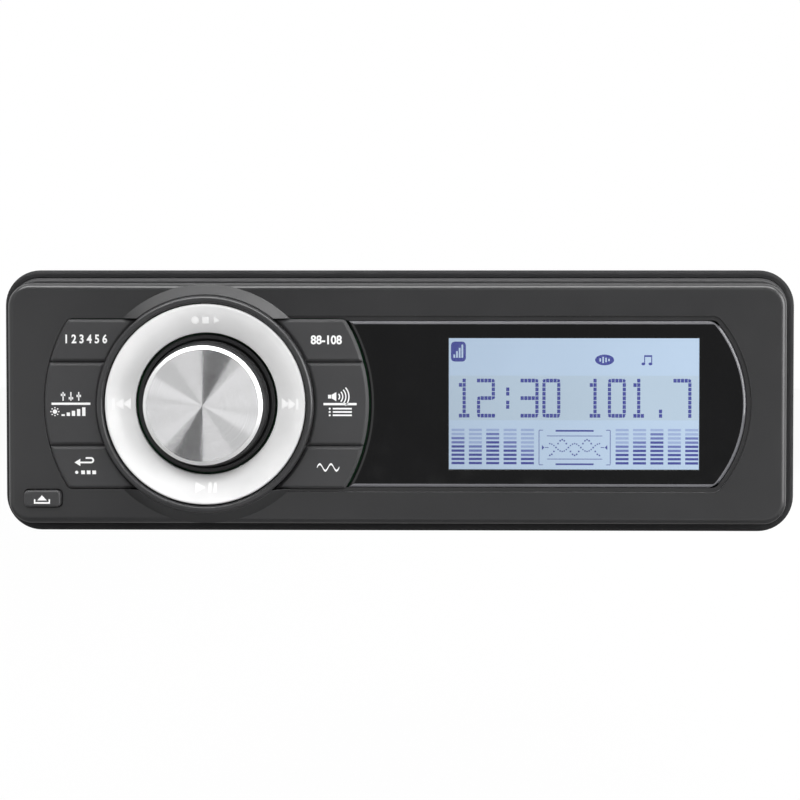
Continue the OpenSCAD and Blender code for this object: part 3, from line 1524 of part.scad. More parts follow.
module heat_sink_screws() {
    color("#85888b") facing() for (at = sink_screws_at)
        translate([at[0], at[1], rear_z - sink_base_t]) machine_screw(sink_base_t + sheet_t + screw_tip);
}

module board_screws() {
    color("#85888b") facing() for (at = standoffs)
        translate([at[0], board_top_y, at[1]]) rotate([90, 0, 0])
            machine_screw(main_board_t + standoff_h - screw_tip);
}

front_frame();
flange_gasket();
door_seal();
media_tray();
locker_pad();
aux_jack();
frame_connector();
chassis_tray();
top_cover();
rear_panel();
heat_sink();
rear_stud();
antenna_socket();
harness_socket();
harness_pins();
fuse_holder();
blade_fuse();
main_board();
board_standoffs();
amplifier_chip();
filter_capacitors();
power_choke();
tuner_can();
processor_chip();
cover_screws();
rear_screws();
frame_screws();
heat_sink_screws();
board_screws();
face_panel();
face_back_cover();
display_window();
lcd_glass();
lcd_light_guide();
lcd_frame();
face_board();
keypad_mat();
tact_switches();
encoder_body();
knob_sleeve();
hinge_pins();
face_screws();
face_connector();
latch_spring();
key_upper_left();
key_middle_left();
key_lower_left();
key_upper_right();
key_middle_right();
key_lower_right();
gimbal_ring();
rocker_carrier();
rocker_trim();
encoder_plunger();
encoder_shaft();
knob_body();
knob_cap();
release_button();
latch_bar();
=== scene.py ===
import json
import math

import bmesh
import bpy
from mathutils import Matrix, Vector

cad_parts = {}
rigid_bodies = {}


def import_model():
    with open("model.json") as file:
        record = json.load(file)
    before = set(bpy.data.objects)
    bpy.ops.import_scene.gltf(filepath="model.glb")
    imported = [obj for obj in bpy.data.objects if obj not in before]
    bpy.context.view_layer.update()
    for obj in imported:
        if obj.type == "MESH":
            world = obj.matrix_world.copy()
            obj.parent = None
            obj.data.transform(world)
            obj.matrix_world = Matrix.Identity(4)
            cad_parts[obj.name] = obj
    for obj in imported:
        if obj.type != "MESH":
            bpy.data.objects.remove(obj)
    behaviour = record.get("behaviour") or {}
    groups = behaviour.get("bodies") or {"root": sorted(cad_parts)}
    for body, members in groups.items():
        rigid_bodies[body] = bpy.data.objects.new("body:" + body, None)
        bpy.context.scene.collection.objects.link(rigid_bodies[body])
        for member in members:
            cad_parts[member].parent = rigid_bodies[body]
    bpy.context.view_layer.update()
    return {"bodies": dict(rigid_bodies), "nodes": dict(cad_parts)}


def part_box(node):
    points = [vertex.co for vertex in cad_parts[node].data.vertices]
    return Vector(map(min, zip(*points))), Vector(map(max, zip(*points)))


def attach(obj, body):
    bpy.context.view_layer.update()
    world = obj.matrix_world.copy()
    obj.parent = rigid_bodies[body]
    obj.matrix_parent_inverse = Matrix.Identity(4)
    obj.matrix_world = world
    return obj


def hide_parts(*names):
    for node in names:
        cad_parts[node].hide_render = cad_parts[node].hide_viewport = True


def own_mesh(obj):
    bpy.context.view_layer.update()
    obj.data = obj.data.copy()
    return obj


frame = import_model()

# Places and sizes, in metres, in the frame of the solids: x across, -y out to the rider, z up
MM = 0.001


def centre(node):
    """The middle of a node's box."""
    low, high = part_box(node)
    return (low + high) / 2


def front(node):
    """How far out a node's front reaches."""
    return -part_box(node)[0].y


def back(node):
    """How far out a node's rear lies."""
    return -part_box(node)[1].y


def size(node):
    """A node's width, depth and height."""
    low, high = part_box(node)
    return high - low


DIAL = centre("knob_cap")
RING_R = size("rocker_trim").x / 2
RING_HOLE_R = 17.2 * MM
RING_EDGE = front("rocker_trim") + 0.07 * MM
RING_DEPTH = 4.0 * MM
SURROUND_R = 25.3 * MM
SURROUND_HALF_W = 0.9 * MM
CAP_R = size("knob_cap").x / 2
CAP_FACE_R = 13.4 * MM
LATHE_STEPS = 224
SHARP_ANGLE = math.radians(32)
GROOVE_ANGLE = math.radians(12)
FLAT_ANGLE = math.radians(3)
WELD = 0.001 * MM
PRINT_T = 0.03 * MM
LAYER_T = 0.02 * MM
KEY_TOP_H = 2.0 * MM
KEY_SWELL = 0.12 * MM
KEY_SIDE_SWELL = 0.12 * MM
KEYS = [name for name in frame["bodies"] if name.startswith("key_")]
VIEW = centre("lcd_glass")
VIEW_W = 60.4 * MM
VIEW_H = 31.8 * MM
CORNER_R = 3.2 * MM
CUT_DEPTH = 20 * MM
GLASS_FRONT = front("lcd_glass")
BUTTON_X = -85.5 * MM


def point(across, up, out):
    """A place in the frame from its distance across, up and out."""
    return Vector((across, -out, up))


# Node helpers

def srgb(red, green, blue):
    """A linear colour from its screen values, 0 to 255."""
    shares = [value / 255 for value in (red, green, blue)]
    return tuple(s / 12.92 if s < 0.04045 else ((s + 0.055) / 1.055) ** 2.4 for s in shares)


def add(tree, kind, inputs=None, **settings):
    """A new shader node; an input's value is a number, a colour or another node's socket."""
    made = tree.nodes.new("ShaderNode" + kind)
    for key, value in settings.items():
        setattr(made, key, value)
    for key, value in (inputs or {}).items():
        if isinstance(value, bpy.types.NodeSocket):
            tree.links.new(value, made.inputs[key])
        else:
            made.inputs[key].default_value = value
    return made


def new_material(name, colour, roughness, metallic=0.0, specular=0.5):
    """A node material with its main shader's plain values."""
    made = bpy.data.materials.new(name)
    made.use_nodes = True
    shader = made.node_tree.nodes["Principled BSDF"]
    shader.inputs["Base Color"].default_value = (*colour, 1)
    shader.inputs["Roughness"].default_value = roughness
    shader.inputs["Metallic"].default_value = metallic
    shader.inputs["Specular IOR Level"].default_value = specular
    return made, made.node_tree, shader


def noise(tree, grain_size, detail=3.0, stretch=(1, 1, 1)):
    """A noise over the object's own coordinates with features of that size, stretched along the axes."""
    where = add(tree, "TexCoord").outputs["Object"]
    scaled = add(tree, "VectorMath", {0: where, 1: stretch}, operation="MULTIPLY")
    return add(tree, "TexNoise", {"Vector": scaled.outputs[0], "Scale": 1 / grain_size, "Detail": detail})


def maths(tree, operation, *values):
    """The outcome of a math node on numbers or sockets."""
    return add(tree, "Math", dict(enumerate(values)), operation=operation).outputs[0]


def mapped(tree, value, start, end, low, high):
    """A value taken from the range of start to end over to the range of low to high."""
    ranges = {"From Min": start, "From Max": end, "To Min": low, "To Max": high}
    return add(tree, "MapRange", {"Value": value, **ranges}).outputs["Result"]


def spread(tree, value, low, high):
    """A noise's middle range taken to low and high."""
    return mapped(tree, value, 0.3, 0.7, low, high)


def tint(tree, shader, factor):
    """Multiplies the shader's colour, plain or already varied, by a varying factor."""
    colour = shader.inputs["Base Color"]
    before = colour.links[0].from_socket if colour.is_linked else colour.default_value[:3]
    scaled = add(tree, "VectorMath", {0: before, "Scale": factor}, operation="SCALE")
    tree.links.new(scaled.outputs[0], colour)


def vary_roughness(tree, shader, smudge_size, amount):
    """Smudges: the roughness goes up and down by an amount."""
    middle = shader.inputs["Roughness"].default_value
    smudges = noise(tree, smudge_size, 4.0).outputs["Fac"]
    tree.links.new(spread(tree, smudges, middle - amount, middle + amount), shader.inputs["Roughness"])


def bump(tree, shader, height, depth, edge):
    """Raises the surface by a height pattern, and rounds its edges off by a radius."""
    soft = add(tree, "Bevel", {"Radius": edge}, samples=4).outputs["Normal"]
    raised = add(tree, "Bump", {"Height": height, "Distance": depth, "Strength": 1.0, "Normal": soft})
    tree.links.new(raised.outputs["Normal"], shader.inputs["Normal"])


def moulded(name, colour, roughness, specular=0.5, grain=0.16 * MM, depth=0.006 * MM, edge=0.15 * MM,
            mottle=0.08, smudge=0.05):
    """Moulded plastic or rubber: fine grain, slight mottling and softly rounded edges."""
    mottle_size, smudge_size = 14 * MM, 6 * MM
    made, tree, shader = new_material(name, colour, roughness, 0.0, specular)
    tint(tree, shader, spread(tree, noise(tree, mottle_size, 4.0).outputs["Fac"], 1 - mottle, 1 + mottle))
    vary_roughness(tree, shader, smudge_size, smudge)
    bump(tree, shader, noise(tree, grain, 2.0).outputs["Fac"], depth, edge)
    return made


def plated(name, colour, roughness, grain=0.5 * MM):
    """Plated or drawn metal: fine grain, faint clouds and slightly rounded edges."""
    cloud_size, grain_depth, edge = 9 * MM, 0.004 * MM, 0.12 * MM
    made, tree, shader = new_material(name, colour, roughness, 1.0)
    tint(tree, shader, spread(tree, noise(tree, cloud_size, 5.0).outputs["Fac"], 0.9, 1.1))
    vary_roughness(tree, shader, grain, 0.07)
    bump(tree, shader, noise(tree, grain).outputs["Fac"], grain_depth, edge)
    return made


def zinc_plate():
    """Zinc-plated sheet: fine crystals of slightly different grey, drawn out along the sheet."""
    made, tree, shader = new_material("zinc_steel", (0.5, 0.51, 0.52), 0.34, 1.0)
    crystal_size, streak_size = 2.4 * MM, 0.5 * MM
    streak_depth, edge = 0.003 * MM, 0.3 * MM
    where = add(tree, "TexCoord").outputs["Object"]
    crystals = add(tree, "TexVoronoi", {"Vector": where, "Scale": 1 / crystal_size})
    grey = add(tree, "SeparateColor", {0: crystals.outputs["Color"]}).outputs[0]
    streaks = noise(tree, streak_size, stretch=(1, 0.05, 1)).outputs["Fac"]
    mixed = maths(tree, "MULTIPLY_ADD", grey, 0.35, streaks)
    low, high = 0.4, 1.0
    tint(tree, shader, mapped(tree, mixed, low, high, 0.93, 1.06))
    tree.links.new(mapped(tree, mixed, low, high, 0.28, 0.4), shader.inputs["Roughness"])
    bump(tree, shader, streaks, streak_depth, edge)
    return made


def from_dial(tree):
    """The distance from the dial's axis."""
    where = add(tree, "TexCoord").outputs["Object"]
    from_axis = add(tree, "VectorMath", {0: where, 1: DIAL}, operation="SUBTRACT")
    flat = add(tree, "VectorMath", {0: from_axis.outputs[0], 1: (1, 0, 1)}, operation="MULTIPLY")
    return add(tree, "VectorMath", {0: flat.outputs[0]}, operation="LENGTH").outputs["Value"]


def paint_light(made, where, amount):
    """Paints light onto a material: makes it paler by a share of its own colour wherever a mask is one."""
    tree = made.node_tree
    tint(tree, tree.nodes["Principled BSDF"], maths(tree, "MULTIPLY_ADD", where, amount, 1.0))


def face_plastic():
    """Satin black plastic, with painted light on the surround about the round control: that ring is painted
    paler.
    """
    made = moulded("face_plastic", srgb(40, 40, 41), 0.3, depth=0.004 * MM, smudge=0.02)
    tree = made.node_tree
    # Painted light: the surround ring is painted paler, standing in for the light it catches.
    paint_light(made, maths(tree, "COMPARE", from_dial(tree), SURROUND_R, SURROUND_HALF_W), 0.4)
    return made


def window_black():
    """Black acrylic with a painted highlight on its rounded edge, but for the edge that faces the keys."""
    made = moulded("window", srgb(16, 16, 17), 0.06, depth=0.0002 * MM)
    tree = made.node_tree
    slope, slope_range = -0.65, 0.345
    away_from_keys = -0.05
    painted_glint_gain = 30.0
    normal = add(tree, "SeparateXYZ", {0: add(tree, "TexCoord").outputs["Normal"]})
    sloping = maths(tree, "COMPARE", normal.outputs["Y"], slope, slope_range)
    off_keys = maths(tree, "GREATER_THAN", normal.outputs["X"], away_from_keys)
    # Painted highlight: the sloping facets of the rounded edge, away from the keys, are painted much paler.
    paint_light(made, maths(tree, "MULTIPLY", sloping, off_keys), painted_glint_gain)
    return made


FINISHES = {
    "frame_plastic": moulded("frame_plastic", srgb(47, 47, 48), 0.5, 0.3),
    "gasket_rubber": moulded("gasket_rubber", srgb(34, 34, 35), 0.7, 0.25, grain=0.3 * MM),
    "tray_plastic": moulded("tray_plastic", srgb(44, 44, 46), 0.55),
    "foam": moulded("foam", srgb(52, 52, 54), 0.95, 0.1, grain=0.5 * MM, depth=0.15 * MM),
    "black_plastic": moulded("black_plastic", srgb(24, 24, 25), 0.4),
    "zinc_steel": zinc_plate(),
    "heat_sink": plated("heat_sink", (0.035, 0.035, 0.037), 0.5, 0.2 * MM),
    "steel_parts": plated("steel_parts", (0.55, 0.55, 0.56), 0.36),
    "antenna_metal": plated("antenna_metal", (0.62, 0.62, 0.63), 0.35),
    "white_plastic": moulded("white_plastic", (0.72, 0.7, 0.66), 0.4),
    "contact_brass": plated("contact_brass", (0.72, 0.5, 0.18), 0.35),
    "fuse_blue": moulded("fuse_blue", (0.04, 0.16, 0.6), 0.18),
    "circuit_board": moulded("circuit_board", (0.02, 0.1, 0.04), 0.35, grain=0.6 * MM, mottle=0.2),
    "chip_plastic": moulded("chip_plastic", srgb(30, 30, 31), 0.5),
    "capacitor": moulded("capacitor", (0.015, 0.03, 0.08), 0.33),
    "copper": plated("copper", (0.5, 0.18, 0.06), 0.36),
    "face_plastic": face_plastic(),
    "cover_plastic": moulded("cover_plastic", srgb(38, 38, 39), 0.55),
    "window": window_black(),
    "light_guide": moulded("light_guide", (0.8, 0.85, 0.9), 0.2),
    "key_rubber": moulded("key_rubber", srgb(59, 59, 60), 0.55, 0.35, edge=0.5 * MM),
    "switches": moulded("switches", (0.5, 0.5, 0.47), 0.4),
    "ring_silver": plated("ring_silver", (0.86, 0.86, 0.86), 0.3),
    "knob_dark": moulded("knob_dark", srgb(30, 30, 31), 0.35),
    "knob_aluminium": plated("knob_aluminium", (0.75, 0.75, 0.76), 0.25),
    "button_plastic": moulded("button_plastic", srgb(60, 60, 61), 0.45, 0.35),
    "latch_plastic": moulded("latch_plastic", (0.25, 0.26, 0.27), 0.45),
}


def spun_aluminium():
    """A disc faced off on a lathe: fine rings that fan the light out from the middle."""
    made, tree, shader = new_material("spun_aluminium", (0.79, 0.79, 0.8), 0.18, 1.0)
    shader.inputs["Anisotropic"].default_value = 1.0
    shader.inputs["Anisotropic Rotation"].default_value = 0.25
    tangent = add(tree, "Tangent", direction_type="RADIAL", axis="Y")
    tree.links.new(tangent.outputs[0], shader.inputs["Tangent"])
    groove_w = 0.16 * MM
    pattern = {"W": from_dial(tree), "Scale": 1 / groove_w, "Detail": 3.0}
    rings = add(tree, "TexNoise", pattern, noise_dimensions="1D").outputs["Fac"]
    tint(tree, shader, spread(tree, rings, 0.9, 1.08))
    tree.links.new(spread(tree, rings, 0.16, 0.2), shader.inputs["Roughness"])
    return made


def satin_metal(name, grey, metallic):
    """Satin chrome on a moulding: bright, with soft clouds where the surface isn't quite even."""
    made, tree, shader = new_material(name, (grey, grey, grey), 0.33, metallic, 0.25)
    cloud_size, smudge_size = 7 * MM, 5 * MM
    tint(tree, shader, spread(tree, noise(tree, cloud_size).outputs["Fac"], 0.96, 1.03))
    vary_roughness(tree, shader, smudge_size, 0.03)
    return made


def glowing(name, colour):
    """A lit patch of the display, brighter towards the lamps at its right end and a little uneven."""
    made, tree, shader = new_material(name, (0, 0, 0), 0.35, 0.0, 0.2)
    patches = spread(tree, noise(tree, 22 * MM, 1.0).outputs["Fac"], 0.97, 1.03)
    across = add(tree, "SeparateXYZ", {0: add(tree, "TexCoord").outputs["Object"]}).outputs["X"]
    fall = mapped(tree, across, VIEW.x - VIEW_W / 2, VIEW.x + VIEW_W / 2, 0.88, 1.08)
    level = maths(tree, "MULTIPLY", patches, fall)
    scaled = add(tree, "VectorMath", {0: colour, "Scale": level}, operation="SCALE")
    tree.links.new(scaled.outputs[0], shader.inputs["Emission Color"])
    shader.inputs["Emission Strength"].default_value = 1.0
    return made


def clear_acrylic():
    """Clear polished acrylic."""
    made, tree, shader = new_material("clear_acrylic", (1, 1, 1), 0.02)
    shader.inputs["Transmission Weight"].default_value = 1.0
    shader.inputs["IOR"].default_value = 1.49
    vary_roughness(tree, shader, 12 * MM, 0.01)
    return made


def white_print_painted_glow():
    """White print with a painted glow: a faint emission of its own makes it paler than the ring about it."""
    made = moulded("white_print_painted_glow", (0.9, 0.9, 0.9), 0.5, 0.3, depth=0.001 * MM, edge=0.01 * MM, mottle=0.03)
    shader = made.node_tree.nodes["Principled BSDF"]
    # Painted glow: the print is no lamp, but a faint emission lifts it above the ring's tone.
    shader.inputs["Emission Color"].default_value = (1, 1, 1, 1)
    shader.inputs["Emission Strength"].default_value = 0.25
    return made


LEGEND = moulded("legend_white", (0.98, 0.98, 0.98), 0.5, 0.3, grain=0.08 * MM, depth=0.001 * MM,
                 edge=0.01 * MM, mottle=0.03)
PAINTED_GLOW_PRINT = white_print_painted_glow()
SPUN = spun_aluminium()
SATIN = satin_metal("satin_metal", 0.95, 0.1)
RIM = satin_metal("satin_rim", 0.82, 0.5)
CLEAR = clear_acrylic()
DISPLAY = {
    "dark": glowing("display_dark", srgb(50, 60, 146)),
    "middle": glowing("display_middle", srgb(98, 112, 176)),
    "faint": glowing("display_faint", srgb(150, 170, 210)),
    "tint": glowing("display_tint", srgb(178, 198, 216)),
    "light": glowing("display_light", srgb(182, 204, 228)),
}
FINISHES["display"] = DISPLAY["light"]


def dress(nodes):
    """Gives every solid the finish of its own slot."""
    for solid in nodes.values():
        for place in solid.material_slots:
            place.material = FINISHES[place.material.name]


# Mesh helpers

def placed(name, data):
    """A new object in the scene."""
    made = bpy.data.objects.new(name, data)
    bpy.context.scene.collection.objects.link(made)
    return made


def welded_copy(node):
    """A copy of a solid's mesh whose faces share their corners."""
    mesh = bmesh.new()
    mesh.from_mesh(frame["nodes"][node].data)
    bmesh.ops.remove_doubles(mesh, verts=mesh.verts, dist=WELD)
    return mesh


def piece(name, mesh, material, body, sharp=SHARP_ANGLE):
    """A closed mesh as a new piece that rides a body; a copied solid's own normals are dropped."""
    bmesh.ops.recalc_face_normals(mesh, faces=mesh.faces)
    for face in mesh.faces:
        face.material_index = 0
    data = bpy.data.meshes.new(name)
    mesh.to_mesh(data)
    mesh.free()
    if "custom_normal" in data.attributes:
        data.attributes.remove(data.attributes["custom_normal"])
    data.shade_smooth()
    data.set_sharp_from_angle(angle=sharp)
    data.materials.append(material)
    made = placed(name, data)
    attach(made, body)
    return made


def rounded(corners, steps=6):
    """An outline with round corners, each given as (x, y, radius)."""
    outline = []
    for i, (x, y, radius) in enumerate(corners):
        here = Vector((x, y))
        before = (Vector(corners[i - 1][:2]) - here).normalized()
        after = (Vector(corners[(i + 1) % len(corners)][:2]) - here).normalized()
        if radius == 0:
            outline.append(tuple(here))
            continue
        half = before.angle(after) / 2
        middle = here + (before + after).normalized() * radius / math.sin(half)
        first = (here + before * radius / math.tan(half) - middle).normalized()
        last = (here + after * radius / math.tan(half) - middle).normalized()
        outline += [tuple(middle + radius * first.slerp(last, k / steps)) for k in range(steps + 1)]
    return outline


def lathe(profile):
    """A solid turned about the dial's axis from points (radius, out); it closes on itself or on the axis."""
    mesh = bmesh.new()
    rings = []
    for radius, out in profile:
        turns = [2 * math.pi * k / LATHE_STEPS for k in range(LATHE_STEPS if radius else 1)]
        rings.append([mesh.verts.new(point(DIAL.x + radius * math.cos(t), DIAL.z + radius * math.sin(t), out))
                      for t in turns])
    for one, two in zip(rings, rings[1:] + rings[:1]):
        if len(one) == len(two) == 1:
            continue
        for k in range(LATHE_STEPS):
            corners = [one[k % len(one)], one[(k + 1) % len(one)], two[(k + 1) % len(two)], two[k % len(two)]]
            mesh.faces.new(list(dict.fromkeys(corners)))
    return mesh


def plates(outlines, base, thickness=PRINT_T):
    """Closed plates from outlines of (across, up); base is how far out they sit, or a rule for it."""
    mesh = bmesh.new()
    for outline in outlines:
        outs = [base(across, up) if callable(base) else base for across, up in outline]
        rear = [mesh.verts.new(point(x, z, out)) for (x, z), out in zip(outline, outs)]
        face = [mesh.verts.new(point(x, z, out + thickness)) for (x, z), out in zip(outline, outs)]
        mesh.faces.new(face)
        mesh.faces.new(rear[::-1])
        for k in range(len(outline)):
            mesh.faces.new((rear[k - 1], rear[k], face[k], face[k - 1]))
    return mesh


# Flat shapes, as lists of outlines in millimetres

def bar(x, y, w, h):
    """An upright rectangle about a middle."""
    return [(x - w / 2, y - h / 2), (x + w / 2, y - h / 2), (x + w / 2, y + h / 2), (x - w / 2, y + h / 2)]


def oval(x, y, w, h, steps=28):
    """An oval about a middle."""
    turns = [2 * math.pi * k / steps for k in range(steps)]
    return [(x + w / 2 * math.cos(t), y + h / 2 * math.sin(t)) for t in turns]


def arc_band(x, y, radius, width, start, end, steps=14):
    """A bent strip between two angles in degrees."""
    turns = [math.radians(start + (end - start) * k / steps) for k in range(steps + 1)]
    outer = [(x + (radius + width / 2) * math.cos(t), y + (radius + width / 2) * math.sin(t)) for t in turns]
    inner = [(x + (radius - width / 2) * math.cos(t), y + (radius - width / 2) * math.sin(t)) for t in turns]
    return outer + inner[::-1]


def arrow(x, y, w, h, way):
    """A triangle about a middle that points left (-1) or right (1)."""
    return [(x - way * w / 2, y - h / 2), (x - way * w / 2, y + h / 2), (x + way * w / 2, y)]


def soft_box(x, y, w, h, radius):
    """A rectangle with round corners about a middle."""
    return rounded([(px, py, radius) for px, py in bar(x, y, w, h)], 4)


def growing_bars(x, base, count, pitch, width, step):
    """Bars on one base, each taller than the last by a step; a step below zero goes the other way."""
    return [bar(x + pitch * k, base + step / 2 * (k + 1), width, abs(step) * (k + 1)) for k in range(count)]


def moved(outlines, dx, dy, unit=MM):
    """Outlines in millimetres moved, and taken to metres unless the unit is 1."""
    return [[((x + dx) * unit, (y + dy) * unit) for x, y in outline] for outline in outlines]


# Round control

def ring_out(across, up):
    """How far out the ring's dished front lies at a place."""
    radius = math.hypot(across - DIAL.x, up - DIAL.z)
    return RING_EDGE - RING_DEPTH * (RING_R - radius) / (RING_R - RING_HOLE_R)


def rocker_ring():
    """The dished bright ring, with a rolled outer edge and a softly broken hole."""
    rear = back("rocker_trim")
    hole_edge_r, rolled_r = 0.3 * MM, 0.45 * MM
    profile = rounded([(RING_HOLE_R, rear, 0), (RING_HOLE_R, RING_EDGE - RING_DEPTH, hole_edge_r),
                       (RING_R, RING_EDGE, rolled_r), (RING_R, rear + RING_DEPTH, 0)])
    made = piece("rocker_ring", lathe(profile), SATIN, "rocker")
    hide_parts("rocker_trim")


def ring_marks():
    """Marks at the ring's four sides."""
    middle_r = 20.2
    skip = [bar(-1.95, 0, 0.5, 2.5), arrow(-0.65, 0, 1.7, 2.5, -1), arrow(1.05, 0, 1.7, 2.5, -1)]
    ahead = [[(-x, y) for x, y in shape] for shape in skip]
    play = [arrow(-1.35, 0, 2.4, 2.3, 1), bar(0.9, 0, 0.65, 2.2), bar(2.2, 0, 0.65, 2.2)]
    sources = [oval(-2.5, 0, 1.7, 1.7), bar(0, 0, 1.5, 1.5), oval(2.5, 0, 1.7, 1.7, 3)]
    dial_x = DIAL.x / MM
    dial_y = DIAL.z / MM
    outlines = (moved(skip, dial_x - middle_r, dial_y) + moved(ahead, dial_x + middle_r, dial_y)
                + moved(play, dial_x, dial_y - middle_r) + moved(sources, dial_x, dial_y + middle_r))
    piece("ring_marks", plates(outlines, ring_out), PAINTED_GLOW_PRINT, "rocker")


def knob_disc():
    """The knob's spun cap: a flat face of fine turned grooves and a bright bevel about it."""
    rear = back("knob_cap")
    face = front("knob_cap")
    grooves = 70
    groove_depth = 0.02 * MM
    step = CAP_FACE_R / grooves / 2
    turned = [(k * step, face - groove_depth * (k % 2)) for k in range(2 * grooves)]
    disc = turned + [(CAP_FACE_R, face), (CAP_FACE_R, rear), (0, rear)]
    rim_r = CAP_R - 0.25 * MM
    rim_h = 0.45 * MM
    inner_edge_r, outer_edge_r = 0.05 * MM, 0.15 * MM
    rim = rounded([(CAP_FACE_R, rear, 0), (CAP_FACE_R, face, inner_edge_r),
                   (rim_r, rear + rim_h, outer_edge_r), (rim_r, rear, 0)])
    for name, profile, material in (("knob_disc", disc, SPUN), ("knob_rim", rim, RIM)):
        made = piece(name, lathe(profile), material, "knob", GROOVE_ANGLE)
        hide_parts("knob_cap")


# Window and display

def in_view(place):
    """Whether a place lies within the display's view or on its edge."""
    margin = 0.1 * MM
    return abs(place.x - VIEW.x) < VIEW_W / 2 + margin and abs(place.z - VIEW.z) < VIEW_H / 2 + margin


def soften_rim(mesh):
    """Rounds the outer edge of the window's front."""
    rim_r = 0.4 * MM
    flush = 0.01 * MM
    bmesh.ops.dissolve_limit(mesh, angle_limit=math.radians(0.5), verts=mesh.verts, edges=mesh.edges)
    front_y = min(v.co.y for v in mesh.verts)
    rim = [e for e in mesh.edges if e.calc_face_angle(0) > SHARP_ANGLE
           and all(v.co.y - front_y < flush and not in_view(v.co) for v in e.verts)]
    bmesh.ops.bevel(mesh, geom=rim, offset=rim_r, segments=3, profile=0.5, affect="EDGES")


def corner_outlines():
    """Outlines just outside the window that round off its two corners away from the keys."""
    front_depth = 1 * MM
    edge_depth = 0.05 * MM
    arm = 20 * MM
    spare_x, spare_z = 4 * MM, 2 * MM
    front_y = -front("display_window")
    verts = frame["nodes"]["display_window"].data.vertices
    near_front = [v.co for v in verts if v.co.y < front_y + front_depth]
    top = max(p.z for p in near_front)
    bottom = min(p.z for p in near_front)
    corner_x = max(p.x for p in near_front if p.z > top - edge_depth)
    bulge = max(p.x for p in near_front) - corner_x
    half_h = (top - bottom) / 2
    arc_r = (bulge ** 2 + half_h ** 2) / (2 * bulge)
    down_arc = Vector((half_h, bulge - arc_r)) / arc_r
    corner = Vector((corner_x, top))
    along_arc = corner + arm * down_arc
    curve = rounded([(corner.x - arm, corner.y, 0), (*corner, CORNER_R), (*along_arc, 0)])[1:-1]
    right = corner_x + spare_x
    above = top + spare_z
    upper = curve + [(right, curve[-1][1]), (right, above), (curve[0][0], above)]
    return [upper, [(x, top + bottom - z) for x, z in upper]]


def window_share(name, material, inside):
    """The window's share inside or outside the display's view, from a copy of its solid."""
    view_outline = bar(VIEW.x, VIEW.z, VIEW_W, VIEW_H)
    cuts = [view_outline] if inside else [view_outline] + corner_outlines()
    cutter_mesh = plates(cuts, -VIEW.y - CUT_DEPTH / 2, CUT_DEPTH)
    bmesh.ops.recalc_face_normals(cutter_mesh, faces=cutter_mesh.faces)
    cutter_data = bpy.data.meshes.new("view_cutter")
    cutter_mesh.to_mesh(cutter_data)
    cutter_mesh.free()
    cutter = placed("view_cutter", cutter_data)
    whole = placed("window_copy", frame["nodes"]["display_window"].data.copy())
    cut = whole.modifiers.new("cut", "BOOLEAN")
    cut.operation = "INTERSECT" if inside else "DIFFERENCE"
    cut.object = cutter
    cut.solver = "EXACT"
    result = bmesh.new()
    result.from_object(whole, bpy.context.evaluated_depsgraph_get())
    bmesh.ops.remove_doubles(result, verts=result.verts, dist=WELD)
    if not inside:
        soften_rim(result)
    for used in (cutter, whole):
        bpy.data.objects.remove(used)
    made = piece(name, result, material, "face", FLAT_ANGLE)
    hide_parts("display_window")


def lcd(shapes):
    """Display shapes, in millimetres right of and down from the view's top left corner."""
    left = VIEW.x / MM - VIEW_W / MM / 2
    top = VIEW.z / MM + VIEW_H / MM / 2
    return [[((left + x) * MM, (top - y) * MM) for x, y in shape] for shape in shapes]


def display_layer(name, tone, shapes, lift=0.0):
    """One tone of the display's drawing, just in front of its glass."""
    piece(name, plates(lcd(shapes), GLASS_FRONT + lift, LAYER_T), DISPLAY[tone], "face")


SEGMENTS = {"0": "abcdef", "2": "abged", "3": "abgcd", "7": "abc", " ": ""}
POINT_ROWS = {":": (2, 3, 5, 6), ".": (7, 8)}
DOT_COLUMNS = 5
DOT_ROWS = 9


def lit(sign, column, row):
    """Whether a dot of a sign is dark; outside the sign's grid none is."""
    centre_column = DOT_COLUMNS // 2
    middle = DOT_ROWS // 2
    right = DOT_COLUMNS - 1
    bottom = DOT_ROWS - 1
    if column not in range(DOT_COLUMNS) or row not in range(DOT_ROWS):
        return False
    if sign in POINT_ROWS:
        return column == centre_column and row in POINT_ROWS[sign]
    if sign == "1":
        in_foot = row == bottom and 0 < column < right
        return column == centre_column or in_foot or (column, row) == (1, 1)
    drawn = {"a": row == 0, "g": row == middle, "d": row == bottom,
             "f": column == 0 and row <= middle, "e": column == 0 and row >= middle,
             "b": column == right and row <= middle, "c": column == right and row >= middle}
    return any(drawn[segment] for segment in SEGMENTS[sign])


def dot(x, y, w, h, cut, corners):
    """A dot about a middle whose named corners (side, end) are cut off."""
    outline = []
    for side, end in ((-1, -1), (1, -1), (1, 1), (-1, 1)):
        px = x + side * w / 2
        py = y + end * h / 2
        along = [(px - side * cut, py), (px, py - end * cut)]
        if (side, end) not in corners:
            outline.append((px, py))
        else:
            outline += along if side * end > 0 else along[::-1]
    return outline


def dot_row(text):
    """A row of signs made of dots, with outer corners cut off."""
    left, top = 1.9, 10.3
    pitch, column_pitch, row_pitch = 5.27, 0.894, 1.063
    dot_w, dot_h, cut = 0.77, 0.9, 0.42
    shapes = []
    for place, sign in enumerate(text):
        for column in range(DOT_COLUMNS):
            for row in range(DOT_ROWS):
                if not lit(sign, column, row):
                    continue
                free = {(side, end) for side in (-1, 1) for end in (-1, 1)
                        if not lit(sign, column + side, row) and not lit(sign, column, row + end)}
                cut_off = free if len(free) == 1 else set()
                x = left + place * pitch + column * column_pitch
                shapes.append(dot(x, top + row * row_pitch, dot_w, dot_h, cut, cut_off))
    return shapes


